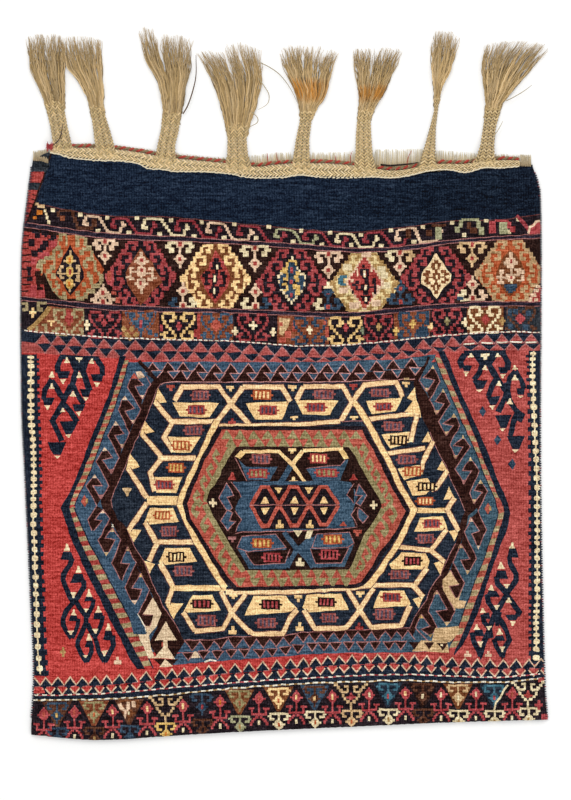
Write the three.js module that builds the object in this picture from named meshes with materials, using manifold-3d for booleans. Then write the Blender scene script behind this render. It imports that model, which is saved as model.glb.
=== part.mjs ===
// Chuval: a flat woven storage bag that lies on its back, patterned face up.
// One long cloth is folded at the bottom and overcast along both sides. At the mouth the
// front's warps are plaited into a header braid and tassels, the back's are twined and cut.
// Millimetres, +Z up, +Y towards the tassels, origin under the middle of the whole bag.

import * as THREE from 'three';
import { mergeVertices } from 'three/addons/utils/BufferGeometryUtils.js';
import Module from 'manifold-3d';

// Driving dimensions
const BAG_WIDTH = 894;
const BAG_HEIGHT = 986;
const CLOTH_THICKNESS = 3;
const POCKET_GAP = 7;
const EDGE_ROLL = 11;
const SEAM_WIDTH = 5;
const SEAM_STITCH = 26;
const BRAID_HEIGHT = 19;
const BRAID_THICKNESS = 6;
const BRAID_STITCH = 24;
const TWINING_HEIGHT = 7;
const TWINING_THICKNESS = 4.5;
const FRINGE_LENGTH = 20;
const FRINGE_THICKNESS = 2.4;
const FRINGE_PITCH = 18;
const STEM_THICKNESS = 8;
const BRUSH_THICKNESS = 12;
const RELIEF = 0.8;
const CLEARANCE = 0.35;
const LAYER_GAP = 0.8;

// Each tassel: the chart column where it leaves the braid, then millimetres
const TASSELS = [
  { column: 62.5, foot: 36, stem: 36, brush: 66, stemLength: 84, length: 193, neckLean: -15, tipLean: -32 },
  { column: 106.5, foot: 35, stem: 24, brush: 60, stemLength: 93, length: 194, neckLean: -18, tipLean: -38 },
  { column: 165, foot: 48, stem: 31, brush: 92, stemLength: 83, length: 224, neckLean: 12, tipLean: 2 },
  { column: 238.5, foot: 54, stem: 42, brush: 110, stemLength: 66, length: 197, neckLean: -2, tipLean: -15 },
  { column: 301.5, foot: 36, stem: 25, brush: 102, stemLength: 103, length: 207, neckLean: 11, tipLean: 13 },
  { column: 364, foot: 37, stem: 28, brush: 88, stemLength: 107, length: 206, neckLean: 3, tipLean: 20 },
  { column: 427, foot: 36, stem: 13, brush: 46, stemLength: 109, length: 226, neckLean: 16, tipLean: 31 },
  { column: 481.5, foot: 46, stem: 24, brush: 117, stemLength: 102, length: 202, neckLean: 20, tipLean: 57 },
];

// The weaver's chart: columns count from the left, rows from the top, one step is one knot
const LEFT_EDGE = [[150, 34], [195, 28], [255, 22], [405, 22], [480, 25.5], [600, 31], [675, 34], [740, 30]];
const RIGHT_EDGE = [[150, 527], [170, 534], [195, 540], [450, 540], [585, 542], [690, 545], [725, 548]];
const MOUTH_EDGE = [[33, 160], [100, 162], [165, 172], [230, 175], [350, 180], [400, 178], [450, 173], [534, 168]];
const BOTTOM_EDGE = [[30, 735], [85, 740], [115, 740], [175, 736], [265, 731], [355, 727], [445, 723], [548, 720]];
const CHART_LEFT = 22;
const CHART_RIGHT = 548;
const CHART_TOP = 160;
const CHART_BOTTOM = 740;
const KNOT = BAG_WIDTH / (CHART_RIGHT - CHART_LEFT);
const PICK = BAG_HEIGHT / (CHART_BOTTOM - CHART_TOP);

const FRONT_BOTTOM = CLOTH_THICKNESS + POCKET_GAP;
const FRONT_TOP = FRONT_BOTTOM + CLOTH_THICKNESS;

const wasm = await Module();
wasm.setup();

const { lerp, smoothstep } = THREE.MathUtils;

// Value of a broken line of [place, value] points at one place
function along(points, place) {
  const last = points.length - 1;
  let k = points.findIndex(([start]) => start > place);
  if (k === 0) k = 1;
  if (k < 0) k = last;
  const [[a, first], [b, second]] = [points[k - 1], points[k]];
  return lerp(first, second, THREE.MathUtils.clamp((place - a) / (b - a), 0, 1));
}

// Plan position of a chart place
function spot(column, row) {
  const middleColumn = (CHART_LEFT + CHART_RIGHT) / 2;
  const middleRow = (CHART_TOP + CHART_BOTTOM) / 2;
  return new THREE.Vector2((column - middleColumn) * KNOT, (middleRow - row) * PICK);
}

// Chart place at shares of the width and of the height below the mouth
function chartAt(across, down) {
  const nearColumn = lerp(CHART_LEFT, CHART_RIGHT, across);
  const row = lerp(along(MOUTH_EDGE, nearColumn), along(BOTTOM_EDGE, nearColumn), down);
  return [lerp(along(LEFT_EDGE, row), along(RIGHT_EDGE, row), across), row];
}

const planAt = (across, down) => spot(...chartAt(across, down));

// A closed loft: rings that run out along one side and back along the other, capped in strips
function loft(rings) {
  const sides = rings[0].length;
  const points = rings.flat();
  const index = [];
  for (let r = 0; r + 1 < rings.length; r += 1) {
    for (let s = 0; s < sides; s += 1) {
      const a = r * sides + s;
      const b = r * sides + ((s + 1) % sides);
      index.push(a, b, b + sides, a, b + sides, a + sides);
    }
  }
  const end = (rings.length - 1) * sides;
  for (let s = 0; s + 1 < sides / 2; s += 1) {
    const far = sides - 1 - s;
    index.push(s, far, s + 1, s + 1, far, far - 1);
    index.push(end + s, end + s + 1, end + far, end + s + 1, end + far - 1, end + far);
  }
  const geometry = new THREE.BufferGeometry().setFromPoints(points);
  geometry.setIndex(index);
  return geometry;
}

// Turns the faces of a closed geometry outwards
function facingOut(geometry) {
  const place = geometry.getAttribute('position');
  const corner = [new THREE.Vector3(), new THREE.Vector3(), new THREE.Vector3()];
  const order = geometry.getIndex().array;
  let volume = 0;
  for (let i = 0; i < order.length; i += 3) {
    corner.forEach((point, k) => point.fromBufferAttribute(place, order[i + k]));
    volume += corner[0].dot(corner[1].clone().cross(corner[2]));
  }
  if (volume < 0) {
    geometry.setIndex(Array.from(order).reverse());
  }
  geometry.computeVertexNormals();
  return geometry;
}

function solidOf(geometry) {
  geometry.deleteAttribute('normal');
  geometry.deleteAttribute('uv');
  const merged = facingOut(mergeVertices(geometry));
  const vertProperties = new Float32Array(merged.getAttribute('position').array);
  const triVerts = new Uint32Array(merged.getIndex().array);
  return new wasm.Manifold(new wasm.Mesh({ numProp: 3, vertProperties, triVerts }));
}

function geometryOf(solid) {
  const mesh = solid.getMesh();
  const geometry = new THREE.BufferGeometry();
  geometry.setAttribute('position', new THREE.BufferAttribute(mesh.vertProperties, 3));
  geometry.setIndex(new THREE.BufferAttribute(mesh.triVerts, 1));
  geometry.computeVertexNormals();
  return geometry;
}

// Shares across and down where the cloth has its lines of points
const rollShares = [0, 0.3, 0.6, 1].map((part) => (part * EDGE_ROLL) / BAG_WIDTH);
const CLOTH_COLUMNS = 16;
const CLOTH_ROWS = 14;
const FOLD_STEPS = 6;
const acrossShares = [...rollShares];
for (let k = 1; k < CLOTH_COLUMNS; k += 1) {
  acrossShares.push(lerp(rollShares.at(-1), 1 - rollShares.at(-1), k / CLOTH_COLUMNS));
}
acrossShares.push(...rollShares.map((share) => 1 - share).reverse());
const downShares = Array.from({ length: CLOTH_ROWS + 1 }, (_, k) => k / CLOTH_ROWS);

// How far the back runs past the front's mouth
const BACK_EXTRA = BRAID_HEIGHT + CLEARANCE;

// Middle height of the front, which comes down to the back at the two side edges
function frontHeight(across) {
  const fromEdge = Math.min(across, 1 - across) * BAG_WIDTH;
  const lift = lerp(LAYER_GAP, POCKET_GAP, smoothstep(fromEdge, 0, EDGE_ROLL));
  return CLOTH_THICKNESS * 1.5 + lift;
}

// One warp's run from the back's mouth, round the bottom fold, to the front's mouth
function warpRun(across) {
  const backHeight = CLOTH_THICKNESS / 2;
  const height = frontHeight(across);
  const turn = (height - backHeight) / 2;
  const bottom = planAt(across, 1);
  const foldCentre = bottom.y + turn + CLOTH_THICKNESS / 2;
  const run = [];
  const straight = (down) => {
    const place = planAt(across, down);
    const mouth = planAt(across, 0);
    const y = lerp(mouth.y, foldCentre, down);
    return new THREE.Vector2(place.x, y);
  };
  const mouth = straight(0);
  run.push({ x: mouth.x, y: mouth.y + BACK_EXTRA, z: backHeight, outY: 0, outZ: -1 });
  for (const down of downShares) {
    const place = straight(down);
    run.push({ x: place.x, y: place.y, z: backHeight, outY: 0, outZ: -1 });
  }
  for (let k = 1; k < FOLD_STEPS; k += 1) {
    const angle = lerp(-Math.PI / 2, Math.PI / 2, k / FOLD_STEPS);
    const y = foldCentre - turn * Math.cos(angle);
    const z = backHeight + turn + turn * Math.sin(angle);
    run.push({ x: bottom.x, y, z, outY: -Math.cos(angle), outZ: Math.sin(angle) });
  }
  for (const down of [...downShares].reverse()) {
    const place = straight(down);
    run.push({ x: place.x, y: place.y, z: height, outY: 0, outZ: 1 });
  }
  return run;
}

// The folded cloth as a thick sheet: an outer and an inner skin with a rim all round
function foldedCloth() {
  const runs = acrossShares.map(warpRun);
  const skin = (side) => runs.map((run) => run.map((p) => new THREE.Vector3(
    p.x,
    p.y + side * p.outY * CLOTH_THICKNESS / 2,
    p.z + side * p.outZ * CLOTH_THICKNESS / 2,
  )));
  const outer = skin(1);
  const inner = skin(-1);
  return loft(outer.map((line, k) => [...line, ...inner[k].reverse()]));
}

// Relief of the woven figures. Every figure is a list of chart places.
const FIELD_MIDDLE = [286, 508];
const PATTERN_INSET = (EDGE_ROLL + 1.5) / KNOT;

function insidePattern([column, row]) {
  const low = along(LEFT_EDGE, row) + PATTERN_INSET;
  const high = along(RIGHT_EDGE, row) - PATTERN_INSET;
  return [THREE.MathUtils.clamp(column, low, high), row];
}

function raised(outline, hole = null) {
  const places = (list) => list.map((place) => spot(...place));
  const shape = new THREE.Shape(places(outline));
  if (hole) {
    shape.holes.push(new THREE.Path(places(hole).reverse()));
  }
  const depth = RELIEF + CLOTH_THICKNESS / 2;
  const geometry = new THREE.ExtrudeGeometry(shape, { depth, bevelEnabled: false });
  geometry.translate(0, 0, FRONT_TOP - CLOTH_THICKNESS / 2);
  return geometry;
}

// A woven row is a curve across the chart, through its left, middle and right height
function wovenRow(left, middle, right) {
  return (column) => {
    const t = (column - CHART_LEFT) / (CHART_RIGHT - CHART_LEFT);
    return left * (1 - t) * (1 - 2 * t) + middle * 4 * t * (1 - t) + right * t * (2 * t - 1);
  };
}

const ROWS = {
  guardTop: wovenRow(202, 228, 214),
  stripeOne: wovenRow(225, 247, 236),
  stripeTwo: wovenRow(299, 313, 303),
  dottedLine: wovenRow(332, 345, 331),
  fieldTop: wovenRow(354, 362, 350),
  lowerPoints: wovenRow(679, 661, 660),
  dashOne: wovenRow(695, 681, 673),
  dashTwo: wovenRow(700, 686, 678),
};

function stripe(row, tall) {
  const steps = 10;
  const places = Array.from({ length: steps + 1 }, (_, k) => lerp(CHART_LEFT, CHART_RIGHT, k / steps));
  const upper = places.map((column) => insidePattern([column, row(column) - tall / 2]));
  const lower = places.map((column) => insidePattern([column, row(column) + tall / 2])).reverse();
  return raised([...upper, ...lower]);
}

const ring = (centre, outer, inner) => raised(
  outer.map(([x, y]) => [centre[0] + x, centre[1] + y]),
  inner.map(([x, y]) => [centre[0] + x, centre[1] + y]),
);

const diamond = (wide, tall) => [[-wide, 0], [0, -tall], [wide, 0], [0, tall]];
const hexagon = (wide, end, tall) => [
  [-wide, 0], [-end, -tall], [end, -tall], [wide, 0], [end, tall], [-end, tall],
];

// A row of triangles between two chart columns that point up (-1) or down (1)
function triangleRow(row, first, last, pitch, wide, tall, points) {
  const figures = [];
  for (let column = first; column <= last; column += pitch) {
    const base = row(column);
    figures.push(raised([
      [column - wide / 2, base], [column, base + points * tall], [column + wide / 2, base],
    ]));
  }
  return figures;
}

function bandFigures() {
  const figures = [
    stripe(ROWS.guardTop, 2.5),
    stripe(ROWS.stripeOne, 4),
    stripe(ROWS.stripeTwo, 4),
    stripe(ROWS.dottedLine, 2),
    stripe(ROWS.dashOne, 1.6),
    stripe(ROWS.dashTwo, 1.6),
  ];
  for (let column = 47; column < 530; column += 16) {
    const row = (ROWS.guardTop(column) + ROWS.stripeOne(column)) / 2;
    const outline = [[-8, 6], [-1, -6], [6, -6], [-1, 6]];
    figures.push(raised(outline.map(([x, y]) => [column + x, row + y])));
  }
  for (let k = 0; k < 7; k += 1) {
    const column = 70 + 73.2 * k;
    const row = (ROWS.stripeOne(column) + ROWS.stripeTwo(column)) / 2;
    const wide = Math.min(33, along(RIGHT_EDGE, row) - PATTERN_INSET - column);
    figures.push(ring([column, row], diamond(wide, 29), diamond(wide * 0.6, 18)));
    figures.push(raised(diamond(wide * 0.3, 9).map(([x, y]) => [column + x, row + y])));
  }
  for (let column = 70; column < 525; column += 37.2) {
    const row = (ROWS.stripeTwo(column) + ROWS.dottedLine(column)) / 2;
    figures.push(raised(hexagon(13, 5, 11).map(([x, y]) => [column + x, row + y])));
  }
  figures.push(...triangleRow((c) => ROWS.dottedLine(c) + 14, 51, 525, 15.8, 12, 9, -1));
  figures.push(...triangleRow((c) => ROWS.lowerPoints(c) + 9, 58, 530, 12.4, 10, 8, -1));
  for (let column = 78; column < 530; column += 36.2) {
    const row = ROWS.dashTwo(column) + 12;
    figures.push(raised(hexagon(7, 3, 7).map(([x, y]) => [column + x, row + y])));
  }
  for (let column = 60; column < 530; column += 36.2) {
    const row = ROWS.dashTwo(column) + 4;
    figures.push(raised([[column - 13, row], [column + 13, row], [column + 3, row + 20], [column - 3, row + 20]]));
  }
  return figures;
}

function fieldFigures() {
  const figures = [
    ring(FIELD_MIDDLE, hexagon(225, 158, 148), hexagon(219, 154, 141)),
    ring(FIELD_MIDDLE, hexagon(185, 128, 126), hexagon(174, 118, 124)),
    ring(FIELD_MIDDLE, hexagon(112, 70, 78), hexagon(94, 58, 62)),
  ];
  for (const column of [-89, -27, 34, 94]) {
    for (const row of [-107, 105]) {
      const centre = [FIELD_MIDDLE[0] + column, FIELD_MIDDLE[1] + row];
      figures.push(ring(centre, hexagon(27, 20, 16), hexagon(22, 16, 12)));
      figures.push(raised([[-9, -5], [9, -5], [9, 5], [-9, 5]].map(([x, y]) => [centre[0] + x, centre[1] + y])));
    }
  }
  for (const side of [-1, 1]) {
    for (const [column, row] of [[-98, -71], [-111, -35], [-122, 11], [-109, 47]]) {
      const centre = [FIELD_MIDDLE[0] - side * column, FIELD_MIDDLE[1] + row];
      figures.push(ring(centre, hexagon(22, 15, 15), hexagon(17, 12, 11)));
    }
    for (const column of [-30, 32]) {
      const centre = [FIELD_MIDDLE[0] + column, FIELD_MIDDLE[1] + side * 43];
      figures.push(ring(centre, hexagon(24, 17, 15), hexagon(19, 14, 11)));
    }
    for (let hook = 0; hook < 5; hook += 1) {
      for (const half of [-1, 1]) {
        const head = [
          FIELD_MIDDLE[0] + side * (192 - 10.7 * hook),
          FIELD_MIDDLE[1] + half * (27 + 25.5 * hook),
        ];
        const outline = [[5, -5], [8, 2], [0, 9], [-6, 9], [-8, 12], [-13, 3], [-4, -5]];
        figures.push(raised(outline.map(([x, y]) => [head[0] + side * x, head[1] - half * y])));
      }
    }
    for (const half of [-1, 1]) {
      for (const [column, row] of [[195, 118], [207, 96], [217, 72], [228, 45], [212, 140]]) {
        const centre = [FIELD_MIDDLE[0] + side * column, FIELD_MIDDLE[1] + half * row];
        figures.push(raised(hexagon(8, 4, 6).map(([x, y]) => [centre[0] + x, centre[1] + y])));
      }
    }
  }
  for (const column of [-21, 8, 37]) {
    const centre = [FIELD_MIDDLE[0] + column, FIELD_MIDDLE[1] - 2];
    figures.push(ring(centre, diamond(14, 20), diamond(10, 14)));
  }
  return figures;
}

function wovenCloth() {
  let cloth = solidOf(foldedCloth());
  for (const figure of [...bandFigures(), ...fieldFigures()]) {
    cloth = cloth.add(solidOf(figure));
  }
  return geometryOf(cloth);
}

// Points on the polyline of an edge of the cloth, about one stitch apart
function edgePoints(corners, stitch) {
  const points = [corners[0]];
  for (let k = 1; k < corners.length; k += 1) {
    const steps = Math.max(1, Math.round(corners[k].distanceTo(corners[k - 1]) / stitch));
    for (let s = 1; s <= steps; s += 1) {
      points.push(corners[k - 1].clone().lerp(corners[k], s / steps));
    }
  }
  return points;
}

// Overcast stitches along one side, wrapped over the edges of front and back
function sideSeam(side) {
  const across = side < 0 ? 0 : 1;
  const run = warpRun(across).slice(-downShares.length);
  const corners = run.map((p) => new THREE.Vector2(p.x, p.y));
  const top = frontHeight(across) + CLOTH_THICKNESS / 2;
  const rings = edgePoints(corners, SEAM_STITCH / 2).map((point, k) => {
    const full = k % 2 ? 1 : 0.72;
    const near = point.x + side * CLEARANCE;
    const far = near + side * SEAM_WIDTH * full;
    const middle = (near + far) / 2;
    return [
      new THREE.Vector3(near, point.y, 0),
      new THREE.Vector3(middle, point.y, 0),
      new THREE.Vector3(far, point.y, top * 0.25),
      new THREE.Vector3(far, point.y, top * 0.75),
      new THREE.Vector3(middle, point.y, top * (0.88 + 0.12 * full)),
      new THREE.Vector3(near, point.y, top * 0.95),
    ];
  });
  return facingOut(loft(rings));
}

const mouthCorners = acrossShares.map((across) => {
  const run = warpRun(across);
  return new THREE.Vector2(run.at(-1).x, run.at(-1).y);
});

// A strip along the mouth, from one offset of the front's edge to another
function mouthStrip(from, to, low, high, stitch, swell) {
  const rings = edgePoints(mouthCorners, stitch / 2).map((point, k) => {
    const full = k % 2 ? 1 : swell;
    const middle = (low + high) / 2;
    const reach = (high - low) / 2 * full;
    return [
      new THREE.Vector3(point.x, point.y + from, middle - reach * 0.7),
      new THREE.Vector3(point.x, point.y + (from + to) / 2, middle - reach),
      new THREE.Vector3(point.x, point.y + to, middle - reach * 0.7),
      new THREE.Vector3(point.x, point.y + to, middle + reach * 0.7),
      new THREE.Vector3(point.x, point.y + (from + to) / 2, middle + reach),
      new THREE.Vector3(point.x, point.y + from, middle + reach * 0.7),
    ];
  });
  return facingOut(loft(rings));
}

const BRAID_MIDDLE = FRONT_TOP - CLOTH_THICKNESS / 2;
const TWINING_FROM = BACK_EXTRA + CLEARANCE;
const FRINGE_FROM = TWINING_FROM + TWINING_HEIGHT + CLEARANCE;

const mouthBraid = () => mouthStrip(
  CLEARANCE, BRAID_HEIGHT, BRAID_MIDDLE - BRAID_THICKNESS / 2, BRAID_MIDDLE + BRAID_THICKNESS / 2,
  BRAID_STITCH, 0.7,
);
const backTwining = () => mouthStrip(
  TWINING_FROM, TWINING_FROM + TWINING_HEIGHT, 0, TWINING_THICKNESS, BRAID_STITCH, 0.75,
);

// Cut warp ends: a strip whose far edge is notched into locks
function backFringe() {
  const points = edgePoints(mouthCorners, FRINGE_PITCH / 2);
  const rings = points.map((point, k) => {
    const reach = FRINGE_LENGTH * (k % 2 ? 1 : 0.45);
    const from = point.y + FRINGE_FROM;
    return [
      new THREE.Vector3(point.x, from, 0),
      new THREE.Vector3(point.x, from + reach, 0),
      new THREE.Vector3(point.x, from + reach, FRINGE_THICKNESS * 0.6),
      new THREE.Vector3(point.x, from, FRINGE_THICKNESS),
    ];
  });
  return facingOut(loft(rings));
}

// Height of the mouth's edge at one plan place across
function mouthAt(x) {
  return along(mouthCorners.map((corner) => [corner.x, corner.y]), x);
}

// A flat plaited stem that leaves the braid, comes down to the floor and fans into a brush
function tassel({ column, foot, stem, brush, stemLength, length, neckLean, tipLean }) {
  const footX = spot(column, 0).x;
  const ridges = 5;
  const tie = 0.82;
  const start = BRAID_HEIGHT + CLEARANCE;
  const hang = BRAID_MIDDLE - STEM_THICKNESS / 2;
  const clearOfFringe = FRINGE_FROM + FRINGE_LENGTH - start;
  const stations = [
    { at: 0, wide: foot, lean: 0, thick: STEM_THICKNESS },
    { at: stemLength * 0.3, wide: stem, lean: neckLean * 0.35, thick: STEM_THICKNESS },
    { at: stemLength * 0.65, wide: stem, lean: neckLean * 0.7, thick: STEM_THICKNESS },
    { at: stemLength, wide: stem * tie, lean: neckLean, thick: STEM_THICKNESS },
    { at: lerp(stemLength, length, 0.3), wide: lerp(stem, brush, 0.5), lean: lerp(neckLean, tipLean, 0.3),
      thick: BRUSH_THICKNESS },
    { at: lerp(stemLength, length, 0.75), wide: brush * 0.95, lean: lerp(neckLean, tipLean, 0.75),
      thick: BRUSH_THICKNESS * 0.8 },
    { at: length, wide: brush, lean: tipLean, thick: BRUSH_THICKNESS * 0.4 },
  ];
  const rings = stations.map(({ at, wide, lean, thick }) => {
    const low = hang * (1 - smoothstep(at, clearOfFringe * 0.45, clearOfFringe * 2.2));
    const upper = [];
    const lower = [];
    for (let k = 0; k <= ridges * 2; k += 1) {
      const share = k / (ridges * 2) - 0.5;
      const y = mouthAt(footX + share * foot) + start + at;
      const crown = 1 - 1.6 * share * share;
      const groove = k % 2 ? 1 : 0.78;
      const x = footX + lean + share * wide;
      upper.push(new THREE.Vector3(x, y, low + thick * (0.25 + 0.75 * crown * groove)));
      lower.push(new THREE.Vector3(x, y, low + thick * (Math.abs(share) > 0.45 ? 0.15 : 0)));
    }
    return [...upper, ...lower.reverse()];
  });
  return facingOut(loft(rings));
}

const chuval = new THREE.Group();

function addPiece(name, geometry, color, roughness = 0.9) {
  const material = new THREE.MeshStandardMaterial({ color, roughness, metalness: 0 });
  const mesh = new THREE.Mesh(geometry, material);
  mesh.name = name;
  chuval.add(mesh);
}

addPiece('woven_cloth', wovenCloth(), '#a83c3a');
addPiece('left_seam', sideSeam(-1), '#7c2f2d');
addPiece('right_seam', sideSeam(1), '#7c2f2d');
addPiece('mouth_braid', mouthBraid(), '#c9b08a');
TASSELS.forEach((shape, k) => addPiece(`tassel_${k + 1}`, tassel(shape), '#bfa67c'));
addPiece('back_twining', backTwining(), '#a5574a');
addPiece('back_fringe', backFringe(), '#cbb48c');

// The origin is under the middle of the whole bag
const reach = new THREE.Box3().setFromObject(chuval);
chuval.position.set(-(reach.min.x + reach.max.x) / 2, -(reach.min.y + reach.max.y) / 2, -reach.min.z);

export default chuval;
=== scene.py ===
"""A chuval, a flat woven wool storage bag, lying patterned face up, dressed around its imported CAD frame."""
import math
import random

import bpy
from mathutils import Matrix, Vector, noise
from mathutils.geometry import delaunay_2d_cdt


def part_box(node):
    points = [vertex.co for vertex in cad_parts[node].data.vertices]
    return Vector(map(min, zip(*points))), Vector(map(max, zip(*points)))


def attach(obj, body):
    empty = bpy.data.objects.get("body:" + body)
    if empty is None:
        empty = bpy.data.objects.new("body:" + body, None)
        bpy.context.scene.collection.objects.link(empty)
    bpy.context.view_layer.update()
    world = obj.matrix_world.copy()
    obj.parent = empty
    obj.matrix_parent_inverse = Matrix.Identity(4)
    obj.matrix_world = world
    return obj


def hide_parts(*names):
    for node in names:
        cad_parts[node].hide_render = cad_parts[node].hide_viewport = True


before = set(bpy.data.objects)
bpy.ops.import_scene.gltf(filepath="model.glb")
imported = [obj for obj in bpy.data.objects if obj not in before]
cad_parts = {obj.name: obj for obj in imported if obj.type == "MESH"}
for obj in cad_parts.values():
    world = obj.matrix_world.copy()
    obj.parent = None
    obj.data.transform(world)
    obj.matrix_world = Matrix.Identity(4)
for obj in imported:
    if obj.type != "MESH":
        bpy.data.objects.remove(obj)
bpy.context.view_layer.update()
cloth_low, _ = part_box("woven_cloth")
chance = random.Random(11)
noise.seed_set(11)

# The weaver's chart: columns count from the left, rows from the top, and one step is 1.7 mm of cloth
STEP = 0.0017
FIRST_COLUMN = 22
LAST_ROW = 740


def spot(column, row, height=0.0):
    """The place in the frame of a spot on the chart."""
    across = cloth_low.x + (column - FIRST_COLUMN) * STEP
    along = cloth_low.y + (LAST_ROW - row) * STEP
    return Vector((across, along, height))


# The chart of the weave: every figure is a dye and an outline, and a later one covers an earlier one
DYES = {
    "navy": "#171f2d", "midnight": "#101d2f", "night": "#1c2430", "ink": "#1b1117", "plum": "#241d29",
    "charcoal": "#272c32", "madder": "#b63e39", "rose": "#a64446", "brick": "#9e3e38", "rust": "#a74f2c",
    "blue": "#3a5064", "steel": "#455c70", "slate": "#2f4254", "sea": "#3b6372", "soot": "#230f0a",
    "brown": "#2b120c", "walnut": "#724124", "chestnut": "#81462d", "umber": "#543121", "ivory": "#efd7ad",
    "cream": "#f4c98e", "gold": "#d3ac62", "straw": "#c8a67a", "camel": "#a5814f", "bone": "#ddcaa2",
    "wine": "#8c363b", "claret": "#993f40", "russet": "#a34d48", "oat": "#d9c18b", "buff": "#f4ca97",
    "chalk": "#dfc3a0", "petal": "#bd8680", "mauve": "#93504b", "lilac": "#514552", "tan": "#b3926a",
    "apricot": "#e0b97b", "peach": "#efd0a3", "olive": "#8e8159", "sage": "#9f9c78", "moss": "#757b61",
    "white": "#ece2cc", "pink": "#9f6965", "blush": "#d9b799", "coral": "#ae5142", "orange": "#c26e27",
    "khaki": "#a08e68", "maroon": "#633632",
}


def smooth(*knots):
    """A smooth curve through its knots, as a function of the first number of each."""
    def value(at):
        k = 0
        while k < len(knots) - 2 and at > knots[k + 1][0]:
            k += 1
        (x_a, y_a), (x_b, y_b) = knots[k], knots[k + 1]
        gap = x_b - x_a
        plain = (y_b - y_a) / gap
        if not x_a <= at <= x_b:
            near = y_a if at < x_a else y_b
            return near + plain * (at - (x_a if at < x_a else x_b))
        before = (y_b - knots[k - 1][1]) / (x_b - knots[k - 1][0]) if k else plain
        beyond = (knots[k + 2][1] - y_a) / (knots[k + 2][0] - x_a) if k + 2 < len(knots) else plain
        t = (at - x_a) / gap
        bend = before * (1 - t) ** 2 * t - beyond * t * t * (1 - t)
        return y_a * (1 + 2 * t) * (1 - t) ** 2 + y_b * t * t * (3 - 2 * t) + gap * bend
    return value


ROW_COLUMNS = (30, 100, 165, 230, 300, 350, 400, 450, 500, 540)


def woven_row(*rows):
    """A row of the weave, which wanders up and down across the bag."""
    return smooth(*zip(ROW_COLUMNS, rows))


LEFT_EDGE = smooth((150, 34), (195, 28), (255, 22), (405, 22), (480, 25.5), (600, 31), (675, 34), (740, 30))
RIGHT_EDGE = smooth((150, 527), (170, 534), (195, 540), (450, 540), (585, 542), (690, 545), (725, 548))
MOUTH = smooth((33, 160), (42, 154.6), (50, 151.6), (66, 154.6), (80, 156.8), (100, 159.4), (130, 162),
               (165, 170), (230, 174), (350, 177), (400, 176), (450, 171), (500, 167), (534, 166.6))
BACK_MOUTH = smooth((33, 158.6), (44, 157), (52, 149.6), (100, 150.6), (165, 160.6), (230, 163.6),
                    (350, 168.6), (400, 166.6), (450, 161.6), (510, 159), (524, 163.6), (534, 164.6))
FRONT_CORNER = smooth((150, 50.6), (165, 47), (178, 43), (190, 38), (200, 35), (210, 31), (222, 26),
                      (232, 20), (245, 10), (260, 0))
BOTTOM = smooth((30, 735), (85, 740), (115, 740), (175, 736), (265, 731), (355, 727), (445, 723),
                (548, 720))
GUARD_TOP = woven_row(202, 215, 216.8, 222.3, 229, 232, 227.5, 221, 219.5, 214)
STRIPE_1 = woven_row(223.5, 233, 236.5, 240.5, 244.5, 248.5, 247, 240.5, 237, 234.5)
STRIPE_1_END = woven_row(227.5, 237.5, 240.3, 243.5, 248.5, 251.5, 250.5, 243.5, 239.5, 238)
STRIPE_2 = woven_row(298, 304.5, 307.5, 309.3, 312, 313, 308, 304, 302, 302)
STRIPE_2_END = woven_row(301, 309, 311.5, 312.3, 315.8, 316.8, 312, 307.8, 305.8, 306)
DOTTED = woven_row(331, 336.8, 339.5, 341, 345.8, 344.5, 340, 335, 332, 332)
FIELD_TOP = woven_row(353, 357.5, 361, 362, 362.5, 361.5, 358.5, 352, 351, 350)
LOWER_POINTS = woven_row(678, 676.5, 670.3, 664.5, 659, 655.6, 654.5, 658, 660, 659)
DASH_1 = woven_row(695.5, 693.2, 688.5, 682.8, 678.3, 675.8, 674.2, 675.8, 677, 673.5)
DASH_2 = woven_row(700, 699, 694.7, 688.2, 683.5, 681.8, 680.2, 681.7, 681.8, 678.3)

ROW_STRIDE = 9
COLUMN_STRIDE = 10
figures = []


def evenly(start, end, gap):
    """Numbers from a start to an end, about a gap apart."""
    count = max(2, int((end - start) / gap))
    return [start + (end - start) * k / count for k in range(count + 1)]


def fill(dye, *places):
    """A figure of the chart, in one dye."""
    figures.append((dye, places))


def block(dye, left, top, right, bottom):
    fill(dye, (left, top), (right, top), (right, bottom), (left, bottom))


def blocks(dye, *boxes):
    """Blocks of one dye, each with its left, top, right and bottom."""
    for box in boxes:
        block(dye, *box)


def line(dye, width, *places):
    """A stroke, one quad for each stretch, mitred where two stretches meet."""
    sides = []
    for k, (x, y) in enumerate(places):
        normals = []
        for a, b in ((k - 1, k), (k, k + 1)):
            if 0 <= a and b < len(places):
                dx, dy = places[b][0] - places[a][0], places[b][1] - places[a][1]
                length = math.hypot(dx, dy)
                normals.append((-dy / length, dx / length))
        nx = sum(n[0] for n in normals)
        ny = sum(n[1] for n in normals)
        size = max(0.6, math.hypot(nx, ny))
        nx, ny = nx / size, ny / size
        reach = width / 2 / max(0.5, nx * normals[0][0] + ny * normals[0][1])
        sides.append(((x + nx * reach, y + ny * reach), (x - nx * reach, y - ny * reach)))
    for (a, b), (c, d) in zip(sides, sides[1:]):
        fill(dye, a, c, d, b)


def row_line(dye, width, row, start, end, offset=0.0, dash=0.0, gap=0.0):
    """A line that follows a woven row, broken into dashes if they are given."""
    if not dash:
        line(dye, width, *[(x, row(x) + offset) for x in evenly(start, end, ROW_STRIDE)])
        return
    at = start
    while at < end:
        line(dye, width, (at, row(at) + offset), (min(end, at + dash), row(at + dash) + offset))
        at += dash + gap


def strip(dye, upper, lower, start, end, rise=0.0, drop=0.0):
    """All that lies between two woven rows."""
    spots = evenly(start, end, ROW_STRIDE)
    fill(dye, *[(x, upper(x) + rise) for x in spots], *[(x, lower(x) + drop) for x in reversed(spots)])


def diamond(dye, x, y, wide, tall):
    fill(dye, (x, y - tall), (x + wide, y), (x, y + tall), (x - wide, y))


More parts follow.
